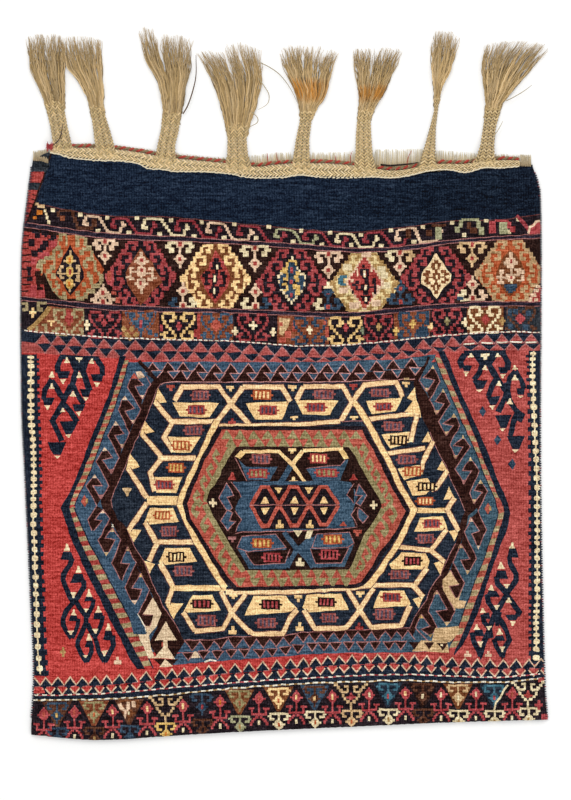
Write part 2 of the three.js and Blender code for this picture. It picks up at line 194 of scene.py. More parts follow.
def stepped(dye, x, y, wide, tall):
    """A diamond with stepped sides, as the rows of the weave make it."""
    count = max(3, round(tall / 3.1))
    corner = []
    for k in range(count):
        reach = wide * (1 - k / count)
        corner += [(reach, tall * k / count), (reach, tall * (k + 1) / count)]
    corner = corner[1:]
    low = [(x + dx, y + dy) for dx, dy in corner] + [(x - dx, y + dy) for dx, dy in reversed(corner)]
    fill(dye, *low, *[(x - dx, y - dy) for dx, dy in corner],
         *[(x + dx, y - dy) for dx, dy in reversed(corner)])


def cross(dye, x, y, wide, tall, thick=2.6):
    block(dye, x - wide, y - thick / 2, x + wide, y + thick / 2)
    block(dye, x - thick / 2, y - tall, x + thick / 2, y + tall)


def octagon(dye, x, y, wide, tall, cut):
    """A block with its corners cut off."""
    fill(dye, (x - wide, y - tall * cut), (x - wide * cut, y - tall), (x + wide * cut, y - tall),
         (x + wide, y - tall * cut), (x + wide, y + tall * cut), (x + wide * cut, y + tall),
         (x - wide * cut, y + tall), (x - wide, y + tall * cut))


# The plain panel under the mouth, and the stripes between the bands
WIDE = (16, 556)
strip("midnight", MOUTH, GUARD_TOP, *WIDE, -6)
strip("ink", GUARD_TOP, STRIPE_1, *WIDE)
strip("soot", STRIPE_1, STRIPE_2, *WIDE)
strip("ink", STRIPE_2, DOTTED, *WIDE)
strip("navy", DOTTED, FIELD_TOP, *WIDE)
row_line("maroon", 0.9, GUARD_TOP, *WIDE, 0.3)


def guard_piece(dye, left, high, right, low):
    """A block of the guard row, its heights given as shares of the row."""
    places = []
    for x, share in ((left, high), (right, high), (right, low), (left, low)):
        places.append((x, GUARD_TOP(x) + share * (STRIPE_1(x) - GUARD_TOP(x))))
    fill(dye, *places)


def meander(dye, x, top, foot, end):
    """One figure of the running guard: a hook, a top bar, a stepped fall, a foot bar and a hook."""
    for left, high, right, low in ((-5.6, 0.4, -2.2, 0.68), (-2.5, 0.5, 0.9, 0.7), (-4, 0.14, -1.1, 0.43),
                                   (-1.4, 0.07, top, 0.19), (foot, 0.85, end, 0.98),
                                   (end - 1.6, 0.6, end + 1, 0.9), (end + 0.3, 0.28, end + 3.2, 0.62),
                                   (end + 2.8, 0.4, end + 5.2, 0.57)):
        guard_piece(dye, x + left, high, x + right, low)
    for k in range(5):
        at = x + top - 1.3 + (foot - top) * k / 4
        guard_piece(dye, at, 0.125 + 0.16 * k, at + 2.9, 0.315 + 0.16 * k)


for figure in (("blush", 88, 12, 19, 33), ("wine", 116, 12, 20, 36), ("bone", 147, 15, 24, 38),
               ("wine", 180, 14, 23, 37), ("blush", 211, 14, 21, 38), ("wine", 242, 17, 25, 40),
               ("sage", 279, 15, 21, 34.6), ("wine", 308, 15, 22, 35.4), ("bone", 340, 13, 19, 34),
               ("wine", 368, 14, 23, 37), ("blush", 400, 15, 20, 38)):
    meander(*figure)
for x, y in ((53, 210), (80.5, 214.5), (107.4, 218), (137, 218), (171, 220.5), (202, 222), (234, 224.5),
             (269, 227), (301, 230.5), (330, 233), (361, 235), (391, 230.5), (423, 227), (452, 223),
             (486, 221), (518.5, 219.5)):
    block("bone", x - 2.2, y - 1.9, x + 2.2, y + 1.9)
for x, y in ((98, 231), (129, 233), (160, 234), (194, 236.5), (224, 238), (256, 238), (293, 242),
             (322, 245), (351, 245), (381, 246), (414, 242), (464, 235), (509, 232)):
    block("bone", x - 2.3, y - 2.1, x + 2.3, y + 2.1)
blocks("straw", (32.6, 202.2, 38.3, 205.6), (37.2, 204.4, 44.6, 208.1))
blocks("orange", (37.1, 210.4, 42.7, 214.8), (33.2, 215.9, 36.8, 219.1))
blocks("ivory", (44.1, 209, 46.5, 212.4), (45.3, 212.7, 47.5, 215.7), (46.1, 216, 48.5, 220.1),
       (47.9, 220.4, 50.5, 224.2))
blocks("umber", (57, 211.3, 60.1, 217.4), (59.3, 209.5, 72.2, 211.7), (71.5, 211.2, 74.7, 217.1),
       (73.3, 216.7, 76.9, 222.5), (75.4, 222.1, 78.2, 227.3), (76.5, 226.5, 93.2, 229.9),
       (91.9, 218.8, 96.7, 226.7), (426, 230.1, 432.3, 236.2), (431.9, 224.4, 446.1, 226.9),
       (405.2, 229.2, 411.6, 238.3))
block("chestnut", 60.5, 215.8, 65.1, 221.2)
blocks("sage", (435.4, 227.1, 441.7, 239.1), (455, 226.8, 459.6, 232.3), (458.7, 220.2, 462.5, 227.5),
       (461, 218.5, 478.3, 221.1), (476.1, 220.8, 480.2, 228.3), (479.1, 227.2, 483.9, 235.1),
       (499.1, 222.3, 507.7, 234.2))
blocks("umber", (467.2, 222.5, 471.1, 229.3), (470.3, 227.7, 477.5, 233.5))
blocks("rose", (488.9, 221.5, 495.5, 233.1), (494.9, 219.7, 508.2, 222), (507.1, 221.8, 511.2, 228.4),
       (510.1, 226.1, 515.1, 232.3))
line("wine", 3.4, (516.5, 216), (523, 222.4), (528, 229), (531, 234))
fill("rose", (528, 234), (530, 226), (535, 222), (541, 220), (541, 234))
line("blush", 2.4, (528, 233.5), (530, 227), (534, 225), (536, 221.5), (541, 220.5))


# The band of hooked diamonds
RIM_HEIGHT = 65
RIM = ((13, -31.3), (15.7, -22.4), (20.2, -18.6), (25.1, -11), (30.3, -3.6), (34.1, 3), (30.2, 12.8),
       (24.3, 18.4), (18.6, 28), (15.1, 32.2))
HOOKS = ((2.5, -30.9, 13, -28.4), (2.6, -30, 7, -26), (5, -26.2, 9.5, -22), (12.5, -28.7, 15.5, -22.1),
         (14.4, -23, 19.6, -19.8), (9.1, -19.6, 20, -17.3), (9, -18.9, 12.5, -10.5),
         (10.1, -13.6, 16, -10.1), (19.1, -19.1, 22.5, -13), (20.5, -14, 25, -7.1),
         (19.4, -11.1, 22.6, 0.1), (16.4, -8, 19.9, -4.1), (19.5, -1.6, 24.5, 2), (24.4, -10.2, 27, -5.9),
         (26.9, -6, 30.5, -1.1), (29.4, -1.5, 33.4, 1.1), (28.1, 0.4, 35.4, 6), (31.5, 5.9, 34, 9.1),
         (17.6, 4.1, 24.4, 7.1), (16.1, 7, 20.6, 11.1), (18.6, 10.3, 21.6, 14.6), (20.4, 13.1, 28, 17),
         (27.4, 6.2, 30.1, 13.3), (13.6, 15.2, 17.4, 20.1), (10.5, 18.1, 14.5, 23.1),
         (13.4, 23, 21.1, 25.6), (19.3, 18.3, 22.7, 23.4), (5.4, 23.6, 9.6, 28.1), (2.6, 27.1, 7.6, 30.1),
         (5.5, 29.9, 15, 32.4), (14.1, 25.2, 18.4, 31.1))


def hooked_diamond(x, ground, hook):
    """A diamond as tall as the band, whose stepped rim sends a curled hook inward at every step."""
    y = (STRIPE_1_END(x) + STRIPE_2(x)) / 2
    tall = (STRIPE_2(x) - STRIPE_1_END(x)) / RIM_HEIGHT
    half = [(x + dx, y + dy * tall) for dx, dy in RIM]
    fill(ground, *half, *[(2 * x - column, row) for column, row in reversed(half)])
    for side in (-1, 1):
        for left, top, right, bottom in HOOKS:
            ends = sorted((x + side * left, x + side * right))
            block(hook, ends[0], y + top * tall, ends[1], y + bottom * tall)


def bloom(dye, x, y, heart, wide=4.0, tall=5.2):
    """A small eight-sided flower with ears and an upright heart."""
    octagon(dye, x, y, wide, tall, 0.5)
    block(dye, x - wide - 2.2, y - 1, x + wide + 2.2, y + 1)
    block(dye, x - 0.9, y - tall - 1.8, x + 0.9, y - tall + 1)
    if heart:
        block(heart, x - 1.1, y - tall * 0.5, x + 1.1, y + tall * 0.5)


fill("rust", *((70 + dx, 266.6 + dy) for dx, dy in RIM),
     *((70 - dx, 266.6 + dy) for dx, dy in reversed(RIM)))
blocks("khaki", (59, 233.2, 62.2, 241.2), (60.2, 232.8, 67.2, 235.7), (65.6, 235.3, 68.1, 246.1),
       (56.8, 238, 58.7, 246.5), (54.9, 245.8, 61.1, 250.8), (52, 249.1, 55.2, 256.2),
       (60.1, 249.9, 63.1, 257.2), (58, 254.8, 61.2, 258.2), (44, 255.4, 54.3, 260.1),
       (53.1, 253.2, 55.1, 270.2), (38.2, 259.7, 46.1, 264.1), (35, 263, 43, 268.2), (40, 267.4, 42.8, 274),
       (50, 264.9, 54.2, 270.3), (46.2, 268.8, 51.8, 273.5), (43.8, 273.4, 47.1, 280.2),
       (51.1, 272.9, 56.2, 279.1), (46, 278.8, 49.2, 283.3), (48.9, 281.2, 52.2, 288.4),
       (55.2, 280.8, 58.1, 285.2), (56.8, 284.2, 60.3, 289.2), (51.9, 287.6, 57.2, 291.3),
       (55.1, 290.6, 58.3, 296.2), (62.1, 291.8, 66.2, 296.3), (64.1, 295.3, 67.2, 300.2),
       (57.8, 295.8, 64.3, 299.4), (75.1, 234.8, 79.3, 240.2), (78.9, 235.1, 85.1, 238.4),
       (84, 237.9, 87.3, 246.3), (75.2, 239.8, 79.9, 247.4), (86.2, 245.7, 91.1, 251.2),
       (82.8, 247.7, 86.4, 251.3), (79.1, 249.8, 84.2, 255.1), (90.1, 250.8, 93.2, 258.2),
       (85.8, 256.9, 94.3, 261.2), (82.9, 259.8, 86.1, 266.2), (84.2, 263.8, 88.2, 268.3),
       (93.8, 260.2, 97.1, 272.3), (86.9, 271.8, 90.2, 277.1), (88.8, 274.8, 93.1, 280.2),
       (97.2, 271.8, 100.1, 276), (98.9, 274.2, 104, 281.2), (99.2, 280.4, 102.3, 284.3),
       (89.8, 279.9, 93.2, 284.3), (81.9, 281.8, 86.2, 287.1), (91.2, 283.8, 100.2, 288.2),
       (86.2, 288.9, 95.1, 293.2), (75, 290.8, 80.2, 296.2), (83.8, 292.6, 88.1, 298.3),
       (76.1, 296.4, 84.3, 300.6))
fill("ink", (70.5, 244.6), (74, 252), (78.6, 257.6), (80.4, 263), (83.4, 272), (83.8, 277.6), (79.4, 284.4),
     (76.4, 288.4), (70.4, 296), (65.6, 289.4), (62.6, 282), (56.4, 275.4), (56.2, 271.4), (61.6, 263.4),
     (63.6, 256.6), (67.4, 250))
blocks("straw", (69.5, 250.4, 71.6, 255.8), (64, 259.9, 76.1, 262.1), (69.1, 263, 71.2, 268),
       (60.4, 272.7, 79.5, 274.2), (69.2, 276, 70.9, 280), (60.5, 265.4, 64.1, 268.6),
       (59.4, 268, 61.6, 277.1), (57.4, 271, 59.9, 273.2), (60.1, 276.4, 64.1, 279.1),
       (76.1, 265.1, 80.3, 269.2), (78.1, 267.3, 80.6, 272.4), (76.7, 275.2, 79.6, 279.4),
       (75, 278.8, 80.1, 281.5), (63.4, 281.4, 67.2, 284.1), (72.6, 284, 75.2, 286.6),
       (69.1, 288.4, 71.1, 292.3), (77.9, 271.8, 79.9, 275.8))
for y, tall, heart in ((259.6, 4.2, "orange"), (272, 4.8, "brick"), (284, 4.8, "orange")):
    fill("gold", (66.3, y - tall * 0.7), (68, y - tall), (71.8, y - tall), (73.2, y - tall * 0.7),
         (73.3, y + tall * 0.6), (71.6, y + tall), (68, y + tall), (66.4, y + tall * 0.6))
    block(heart, 68.5, y - 2.6, 71, y + 2.6)
fill("soot", (34.4, 292), (44, 272), (52, 290), (62, 301), (46, 300))
fill("brick", (18, 230), (58, 236.4), (57.2, 246), (53, 249.6), (45.2, 256), (37.4, 261.8), (35.8, 268),
     (40.6, 272), (38, 278), (44, 284.4), (45, 298), (18, 298))
blocks("rose", (40, 241.4, 43.4, 247), (49.4, 241, 55.4, 247.4), (42.1, 252, 49.3, 256.3),
       (38.2, 253.6, 44, 259), (30, 285.4, 37, 296.8), (38.4, 290.2, 44.6, 297.2), (31, 258, 36, 264))
blocks("ink", (32, 229.4, 38.2, 233.4), (35.1, 232.6, 40.3, 238.4), (41.4, 230.2, 48.9, 235.5),
       (44.1, 234.8, 47.2, 237.3), (50.7, 235.2, 56.6, 239.2), (48.4, 238.3, 54.1, 240.6),
       (28.4, 239.1, 35.1, 246.2), (42.9, 240.6, 48.8, 247.2), (39.9, 244.2, 46.3, 250.1),
       (37.8, 248.1, 43.1, 252.2), (31.4, 250.4, 38.1, 257.1), (26.1, 266.2, 32.1, 270.1),
       (27.2, 269.3, 31.2, 276.2), (26.3, 276.7, 33.2, 281.1))
blocks("brown", (35.1, 271.2, 41.1, 276.3), (36.2, 275.6, 45.1, 284.2), (37.1, 283.5, 39.8, 290.1),
       (39.5, 287, 43.2, 290))
for y in (229.2, 235.1, 241.3, 247.6, 254.2, 261.1, 268.2, 277.3, 283.4, 290.4):
    block("soot", 19.3, y, 27.4 + (y * 7) % 4, y + 1.5)

hooked_diamond(141, "ink", "claret")
fill("chestnut", (141.2, 248), (147, 257), (152.2, 262), (155, 268.2), (160, 277), (162.2, 282.3),
     (158.1, 286.2), (151, 293.3), (147.3, 300), (140, 305.3), (136.8, 298), (132, 291.2), (127, 284),
     (126, 272.3), (131, 262.2), (135, 256.1))
blocks("blush", (140.1, 251.8, 142.9, 257.6), (134, 260.1, 149.1, 262.8), (140.4, 264, 142.6, 268),
       (140.5, 275, 142.2, 280), (134.1, 282.6, 148.2, 284.9), (138, 285, 144.7, 288.4),
       (140.2, 287.6, 142.7, 293.4), (129.4, 267.4, 134.2, 269.1), (129.9, 268.3, 131.7, 278.2),
       (131.1, 270.9, 138, 272.5), (125.6, 276.1, 130.2, 278.4), (129.1, 277.5, 134.3, 280.4),
       (147.9, 267.5, 154.1, 269.9), (151.5, 269.2, 154, 279.2), (144.8, 272.1, 152.2, 273.9),
       (147.4, 277.6, 153.3, 281.1), (152.8, 277, 157.2, 278.9))
for y, tall in ((260.9, 4.3), (271.4, 4.6), (283.2, 4.4)):
    fill("blush", (137.1, y - tall * 0.8), (138.2, y - tall), (144.6, y - tall), (145.8, y - tall * 0.8),
         (145.6, y + tall * 0.7), (144, y + tall), (138.6, y + tall), (137.2, y + tall * 0.7))
blocks("brick", (140, 258.5, 143.4, 262.2), (139.9, 268.4, 143.1, 271.7), (139.4, 281.1, 142, 285.1))
fill("rose", (106, 278), (112, 266.4), (113.6, 264.4), (113.2, 274), (114.4, 281), (111, 285.6),
     (107.2, 284))
blocks("coral", (107.4, 271, 111.2, 280.4), (115.6, 297, 119.6, 303), (112, 291.4, 116.3, 294.2))

hooked_diamond(215.5, "walnut", "cream")
fill("brick", (215.6, 250), (221, 258), (226.2, 268), (231, 277.2), (227.2, 288), (221.2, 296.2),
     (215.2, 304), (208, 294.2), (203, 284.2), (200.2, 277), (208.2, 268), (212.2, 258.2))
blocks("ink", (213.9, 258.1, 218.6, 262.4), (212.5, 262, 220.6, 268.3), (210.4, 267.2, 222.1, 269.6),
       (205, 271.4, 210.2, 274.4), (202.4, 274, 208.1, 277.6), (204.9, 277.1, 208, 283.2),
       (203.9, 282.2, 210.1, 285.2), (220, 271.5, 225.1, 275.3), (222.1, 274.8, 227.6, 278.1),
       (222.9, 277.4, 226.1, 284.3), (219.4, 283.8, 225, 287.1), (214.9, 269.1, 218.1, 284.4),
       (211.9, 273.2, 214.7, 286.8), (210.9, 286.4, 219.6, 293.4), (209, 289.1, 213.2, 293.1),
       (212.2, 292.9, 218.2, 296.3), (213.4, 295.9, 216.7, 298.6), (207.6, 277.8, 222.7, 279.4))
blocks("rose", (208.2, 275.1, 212.4, 278), (217.6, 275.2, 222.4, 278.8), (208.6, 279.6, 211.6, 283.1),
       (217.3, 281, 222, 284.1), (209.6, 262.6, 212, 267), (221.6, 261, 224.4, 266.4),
       (204.4, 286.2, 209, 289))
blocks("ivory", (216.1, 264.5, 218.2, 269), (213.5, 275, 216, 282.2), (213, 288, 215.2, 294.1))

hooked_diamond(291.4, "ink", "claret")
fill("slate", (291.6, 259), (295.8, 266), (299.4, 272), (304.2, 276), (304.6, 284), (301.4, 291),
     (297, 296), (291.6, 302), (287, 296), (283.4, 291), (279, 286), (278.6, 278), (284.4, 270),
     (287.8, 264))
blocks("ink", (281, 283, 285.6, 288.4), (296.4, 267.4, 299, 270.6), (293.6, 281.4, 296.2, 285.6),
       (286.2, 267.6, 288.8, 272), (283, 281, 289, 283.3))
blocks("gold", (288.6, 260.1, 296.4, 262.2), (285.9, 262.4, 288.9, 266.4), (294.8, 260.7, 297.1, 265.3),
       (281.9, 267.7, 286.1, 271.1), (279.9, 270.6, 287.2, 273.5), (286, 264.1, 288, 270.2),
       (286.1, 272.7, 288.6, 281.2), (282.8, 278, 287.3, 280.8), (281.9, 283.1, 287.1, 285.2),
       (286.1, 284.8, 288.6, 291.1), (282.8, 289.4, 286.4, 292.1), (295.8, 271.4, 300.1, 275.2),
       (293.8, 275.1, 298.2, 279), (295.4, 278.3, 299.2, 282.1), (292.9, 284.1, 297.3, 289),
       (295.9, 285.2, 300.2, 290.3), (294.9, 290.1, 300.1, 295.1))
blocks("ivory", (291.3, 256.4, 293.5, 260.3), (277.4, 275, 280.1, 278.6), (280, 272.8, 282.3, 275.3),
       (278, 280.6, 279.8, 283.4), (282.4, 291.2, 285.2, 294.2), (285.3, 294.8, 288.1, 298.2),
       (287.8, 297.8, 290.3, 301.2), (290.9, 300.8, 292.6, 304.6), (293.3, 298.8, 295.2, 301.4),
       (295.3, 295.8, 297.5, 299.2), (300.8, 290.2, 303.1, 292.9), (296.8, 266.8, 298.3, 270),
       (298.7, 269.7, 300.5, 272.2), (299.7, 273.1, 304.3, 275.6), (303.9, 275.2, 305.6, 279.2),
       (303.3, 281.8, 305.2, 286.1), (279.9, 288.8, 283, 290.6))
blocks("rose", (290.8, 267, 293.2, 273.2), (290.4, 280.2, 293, 284.1), (289.9, 293.1, 292.5, 297.2))

hooked_diamond(364, "oat", "camel")
for dx, dy, wide in ((-17, -14, 4.4), (17, -12, 4.2), (-21, 9, 4.6), (22, 4, 4.4), (12, 22, 4.8),
                     (-10, 24, 5.2), (2, -27, 4.8), (20, -6, 3.6), (-12, -5, 3.8)):
    block("blush" if wide > 4.5 else "bone", 364.3 + dx - wide, 281.2 + dy - 3, 364.3 + dx + wide,
          281.2 + dy + 3.2)
stepped("blush", 364.6, 282.6, 19, 27)
stepped("brick", 364.6, 282.6, 16.2, 25.2)
blocks("sea", (338.4, 278, 343.2, 284.3), (340, 275.4, 347.2, 278.2), (340.2, 283.2, 346.1, 285.6))
blocks("blush", (370.6, 266, 372.8, 272.4), (356.4, 268, 358, 276.4), (376.8, 285, 379, 293.4),
       (350.6, 279, 353.3, 282.2), (372.4, 292.6, 376.2, 295.4))
blocks("ink", (362.1, 265.1, 365, 268.2), (360, 268.8, 369.6, 271.2), (359.8, 270.4, 363.1, 276.3),
       (366.2, 270.3, 369.1, 276.1), (362.2, 276, 368.1, 279.3), (364.1, 278.2, 368.2, 284.4),
       (371.8, 278.4, 376.1, 284.1), (373.9, 283.6, 376.3, 294.2), (368.9, 286.4, 375.1, 288.1),
       (355, 280.9, 359.3, 284.2), (351.9, 283.4, 356.2, 286.3), (355.5, 285.2, 358.2, 290.1),
       (357.1, 288.5, 363.2, 290.6), (351.7, 290, 354.2, 294.2), (360.9, 284.2, 364.2, 290.3),
       (366.4, 284, 369.2, 290), (363.2, 289.8, 368.3, 295.1), (360.2, 295.8, 370.3, 298.1),
       (361.8, 297.4, 364.3, 301.2), (366.9, 297.3, 369.3, 301.1), (364.1, 300.8, 367.6, 304.2))
blocks("ivory", (363.4, 270.4, 365.6, 277.1), (364.4, 285, 366.6, 290.1), (364.8, 296.9, 366.7, 301.3))
block("coral", 361.9, 303.8, 366.2, 307.3)

hooked_diamond(436, "ink", "claret")
fill("peach", (435, 253.4), (437, 253.5), (439.2, 258.4), (442.4, 262.2), (445.2, 267.4), (447.4, 270.4),
     (451.2, 274.4), (450.6, 281.4), (447, 284.6), (443.4, 288), (440.8, 292.4), (438.6, 296), (436.2, 299),
     (433.4, 295.4), (430.6, 290.4), (426.4, 286.6), (421.2, 283.6), (421.4, 274.4), (424.4, 270),
     (427.4, 265.4), (431, 260.8))
blocks("walnut", (433.9, 260.4, 438.1, 263.2), (430.9, 262.8, 440.6, 267.1), (432.8, 266.7, 439.6, 270),
       (434.9, 269.4, 437.5, 284.2), (432.9, 272.9, 440.1, 280.1), (425.9, 270.4, 430.6, 274.1),
       (422.9, 273.2, 429.1, 277.2), (425.8, 276.6, 434.1, 278.1), (423.8, 277.7, 428.6, 282.2),
       (425.7, 281.6, 430.5, 284.4), (440.8, 269.9, 446.1, 273.1), (443.9, 272.6, 449.2, 276.3),
       (439.8, 276, 445.2, 277.6), (444.3, 277.1, 449, 281.1), (440.9, 280.6, 446.2, 283.4),
       (433.8, 282.9, 438.6, 285.3), (430.4, 284.8, 441.1, 287.6), (432.3, 287.1, 439.5, 290.4),
       (433.9, 290, 438.2, 294.1))
blocks("peach", (435.3, 263.9, 437.5, 269.1), (435.5, 274.9, 437.4, 279.1), (434.9, 285.4, 437.1, 290.6),
       (422.9, 276, 425.2, 279.1), (446.4, 275.1, 448.6, 278.2))

hooked_diamond(510, "rust", "tan")
fill("walnut", (510, 249.6), (515.4, 254), (520.6, 262), (525.2, 272), (521, 284), (515.2, 291),
     (510, 297.4), (504.4, 291), (500.2, 285), (495.6, 275), (499.4, 264), (504.6, 256))
blocks("blush", (508.8, 252.6, 512.9, 258.4), (506, 257.9, 515.2, 262.2), (503.9, 261.2, 517.1, 265.1),
       (506.8, 264.8, 514.1, 268.2), (510.3, 267.4, 512.6, 275.4), (505.9, 273.9, 515.1, 279.2),
       (507.9, 278.8, 513.2, 281.3), (499.3, 269.8, 504.2, 274.2), (499.8, 273.3, 502.2, 282.4),
       (495.9, 275.9, 500.3, 278.5), (501.8, 277, 507.1, 278.7), (496.8, 280.9, 504.1, 284.1),
       (514.4, 268.4, 521.2, 271.1), (516.8, 270.3, 520.2, 275.3), (519.8, 269.8, 524.2, 273.6),
       (513.8, 273.8, 520, 276.1), (521.1, 274.7, 524, 281.2), (516.8, 279.8, 523.2, 281.6))
blocks("brick", (510.1, 259, 512.3, 263.3), (510, 276, 512.4, 279.1))
blocks("slate", (504.3, 283.9, 517.2, 288.3), (505.9, 287.8, 515.3, 291.2), (507.8, 290.8, 512.4, 293.6))
block("ivory", 510.1, 280.9, 512.2, 283.6)
fill("brick", (527.4, 303), (530, 297), (535, 291), (541, 284), (541, 303))
blocks("blush", (533.8, 288.6, 539.2, 292.4), (530.6, 293.4, 536.2, 297.2), (527.8, 297.6, 532.4, 302),
       (535.6, 284.8, 540.4, 287.6), (534.4, 298.4, 538, 301))
row_line("pink", 0.8, STRIPE_1, *WIDE, -0.4)
strip("plum", STRIPE_1, STRIPE_1_END, *WIDE)
row_line("pink", 0.8, STRIPE_1_END, *WIDE, 0.3)


def pendant(x, bar, side, half, flower_at, dye, left=None, right=None):
    """A hooked bar with a flower on a stem, which hangs from one edge of a band or rises from the other."""
    def piece(shade, start, end, a, b):
        low, high = sorted((bar + side * a, bar + side * b))
        block(shade, x + min(start, end), low, x + max(start, end), high)

    for way, shade in ((-1, left or dye), (1, right or dye)):
        for start, end, a, b in ((0.4, half, 0, 2.6), (half - 3.6, half, 0.1, 7),
                                 (half - 0.8, half + 2.7, 3.4, 6.8), (half - 6.3, half - 1.1, 5.9, 11.3)):
            piece(shade, way * start, way * end, a, b)
    piece(dye, -3.6, 3.6, 0.1, 6.2)
    piece("brick", -1.8, 1.8, 0.2, 5)
    reach = abs(flower_at - bar)
    piece(dye, -1.2, 1.2, 5.8, reach + 8.6)
    bloom(dye, x, flower_at, None, 4.3, 4.7)
    block("brick", x - 1.7, flower_at - 2, x + 1.7, flower_at + 2)


for figure in ((105, 239, 1, 10.4, 256, "blush"), (180, 241.6, 1, 12, 259.3, "blush", "bone", "bone"),
               (255, 245.4, 1, 13, 263.6, "blush", "bone", "bone"), (328.5, 251.5, 1, 12, 270.3, "blush"),
               (400, 250.4, 1, 12.4, 267, "blush", "bone", "straw"), (472, 242, 1, 12.6, 258.4, "straw"),
               (103, 304.6, -1, 9.6, 292.6, "blush"), (183, 308.6, -1, 12, 291, "blush", "slate", "bone"),
               (255.5, 308.8, -1, 13, 292, "blush", "bone", "slate"),
               (328, 309.6, -1, 12.4, 292.6, "slate", "bone", "slate"),
               (400.5, 304.6, -1, 11.4, 288.6, "slate"),
               (472.5, 301, -1, 12.4, 284.4, "blush", "bone", "blush")):
    pendant(*figure)
blocks("ivory", (326.4, 282, 329.8, 288.2), (323.4, 286, 332.8, 288.6))
blocks("slate", (457, 296.6, 463.4, 300), (325.4, 290, 331, 294))
row_line("pink", 0.9, STRIPE_2, *WIDE, -0.3)
strip("plum", STRIPE_2, STRIPE_2_END, *WIDE)
row_line("pink", 0.8, STRIPE_2_END, *WIDE, 0.3)


# The band of hearts
HEART = ((14.5, -10, 17, -4), (4, -13, 15.5, -10.5), (3.9, -11, 6.5, -2.9), (1.5, -9, 4.2, -5.5),
         (4.5, -5.6, 9.5, -2.8), (12.5, -4.8, 15.5, -0.4), (10, -1, 12.7, 2.6), (6.9, 2, 9.7, 5.2),
         (3.6, 4.8, 6.7, 9), (1.5, 8.4, 4.1, 12.2), (12.6, 6, 15, 14.1), (14.6, 8, 18.4, 10.6),
         (10.4, 5.9, 13.4, 9.1), (2.5, 12.4, 14.6, 14.5))


def heart(x, y, dye, half=16):
    """A hooked heart: two curls at the top, two slants that meet, and two hooked feet."""
    for side in (-1, 1):
        for left, top, right, bottom in HEART:
            ends = sorted((x + side * left * half / 17, x + side * right * half / 17))
            block(dye, ends[0], y + top, ends[1], y + bottom)


def patch(dye, left, right):
    """The ground of one heart."""
    strip(dye, STRIPE_2_END, DOTTED, left, right, 1.0, -1.0)


fill("chestnut", (27, 331.6), (38, 321), (47, 309), (50, 306), (90, 311.4), (86, 336.4))
line("camel", 4.4, (28, 330), (34, 325.4), (40, 319.6), (46, 312.6), (50, 307))
blocks("khaki", (20, 302.2, 28.2, 304.8), (25.4, 304, 28.6, 310.8), (22, 308, 26, 311.2),
       (37, 301.9, 47.2, 304.4), (36.9, 303.8, 40.1, 311.2), (39.7, 307.8, 43.2, 311.9),
       (41.9, 324, 47.1, 326.2), (44.4, 325.6, 47.2, 332.6), (35.4, 326, 38.2, 330.8),
       (52.9, 309, 56.8, 314.3))
heart(69.4, 321.4, "khaki", 16)
blocks("brick", (66.2, 310, 71.3, 316.4), (64.8, 315.8, 73.2, 322.3), (67.9, 321.8, 71.1, 326.2))
blocks("cream", (47.4, 320.4, 55.2, 322.4), (50.4, 322, 52.6, 326.2))
cross("cream", 32.9, 312.6, 3.6, 5.4)
patch("ink", 84, 122)
heart(105, 324, "claret")
cross("rose", 104.5, 322.5, 3, 3.5)
cross("ivory", 87, 325, 2.6, 5)
patch("chestnut", 122, 160)
fill("blue", (125, 312), (157, 311.6), (154, 323), (141, 337), (129, 323))
heart(141, 323, "chestnut", 14)
blocks("rose", (139.4, 320, 142.4, 328))
for x, y in ((127, 334), (132, 329), (124, 329), (130, 338), (136, 335)):
    stepped("camel", x, y, 2.8, 2.8)
blocks("blue", (148, 330, 152, 335), (154, 333, 158, 337), (139.6, 328, 142, 338))
patch("ink", 159, 197)
heart(178.5, 325, "apricot", 17)
cross("rose", 179, 326, 2.6, 4)
blocks("rose", (160, 325, 163, 331), (194, 331, 198, 337))
patch("chestnut", 197, 233)
heart(216, 326, "blue", 15)
blocks("steel", (203.2, 334.2, 206, 338.6), (226.4, 333.2, 230, 338.2), (230.2, 314.6, 232.6, 324))
blocks("brick", (197.2, 314, 200.2, 339.2), (194.2, 329, 197, 334))
stepped("coral", 216, 325.5, 5, 6)
patch("ink", 233, 276)
heart(253, 326.6, "claret", 16)
cross("ivory", 253, 325.5, 4, 4.6)
cross("ivory", 235, 331, 3.6, 4.2)
cross("ivory", 273, 332, 2.8, 4.6)
patch("chestnut", 277, 331)
fill("straw", (279, 318), (290, 319), (288, 327), (283, 336), (279, 334))
blocks("coral", (279, 322, 283, 326), (285, 331, 291, 338), (279, 338, 286, 343), (292, 322, 296, 332))
heart(310, 330, "slate", 17)
blocks("coral", (325.2, 327.2, 328.8, 337.3), (323.4, 321, 326.2, 325.4))
cross("ivory", 309.5, 330, 3, 4.6)
patch("ink", 329, 362)
heart(345.5, 329.8, "apricot", 17)
cross("rose", 345.5, 327.5, 2.8, 4)
cross("moss", 363, 331, 2.6, 4)
patch("ink", 364, 395)
heart(378.5, 328, "claret", 14.5)
cross("camel", 378.5, 327, 2.8, 3.6)
patch("chestnut", 394, 430)
heart(413, 324.6, "slate", 15)
blocks("slate", (399, 312.6, 402.3, 327), (425.8, 311, 429.4, 325), (398.2, 333.4, 402.6, 339.2))
fill("slate", (416, 331), (421, 327), (428, 326), (428, 337), (417, 338.6))
cross("gold", 412.5, 324, 3.4, 4.2)
cross("gold", 396, 331, 3.4, 4.2)
cross("cream", 431, 327, 3.2, 4)
patch("ink", 433, 464)
heart(447, 321.5, "claret", 15.4)
cross("olive", 447, 321, 2.8, 4)
cross("ivory", 465, 322.5, 3.6, 4.4)
patch("walnut", 467, 503)
heart(484.5, 319, "ivory", 16.6)
stepped("brick", 485.5, 319.5, 4, 5)
cross("camel", 502, 321, 3, 4)
patch("charcoal", 505, 541)
heart(521, 319, "umber", 15)
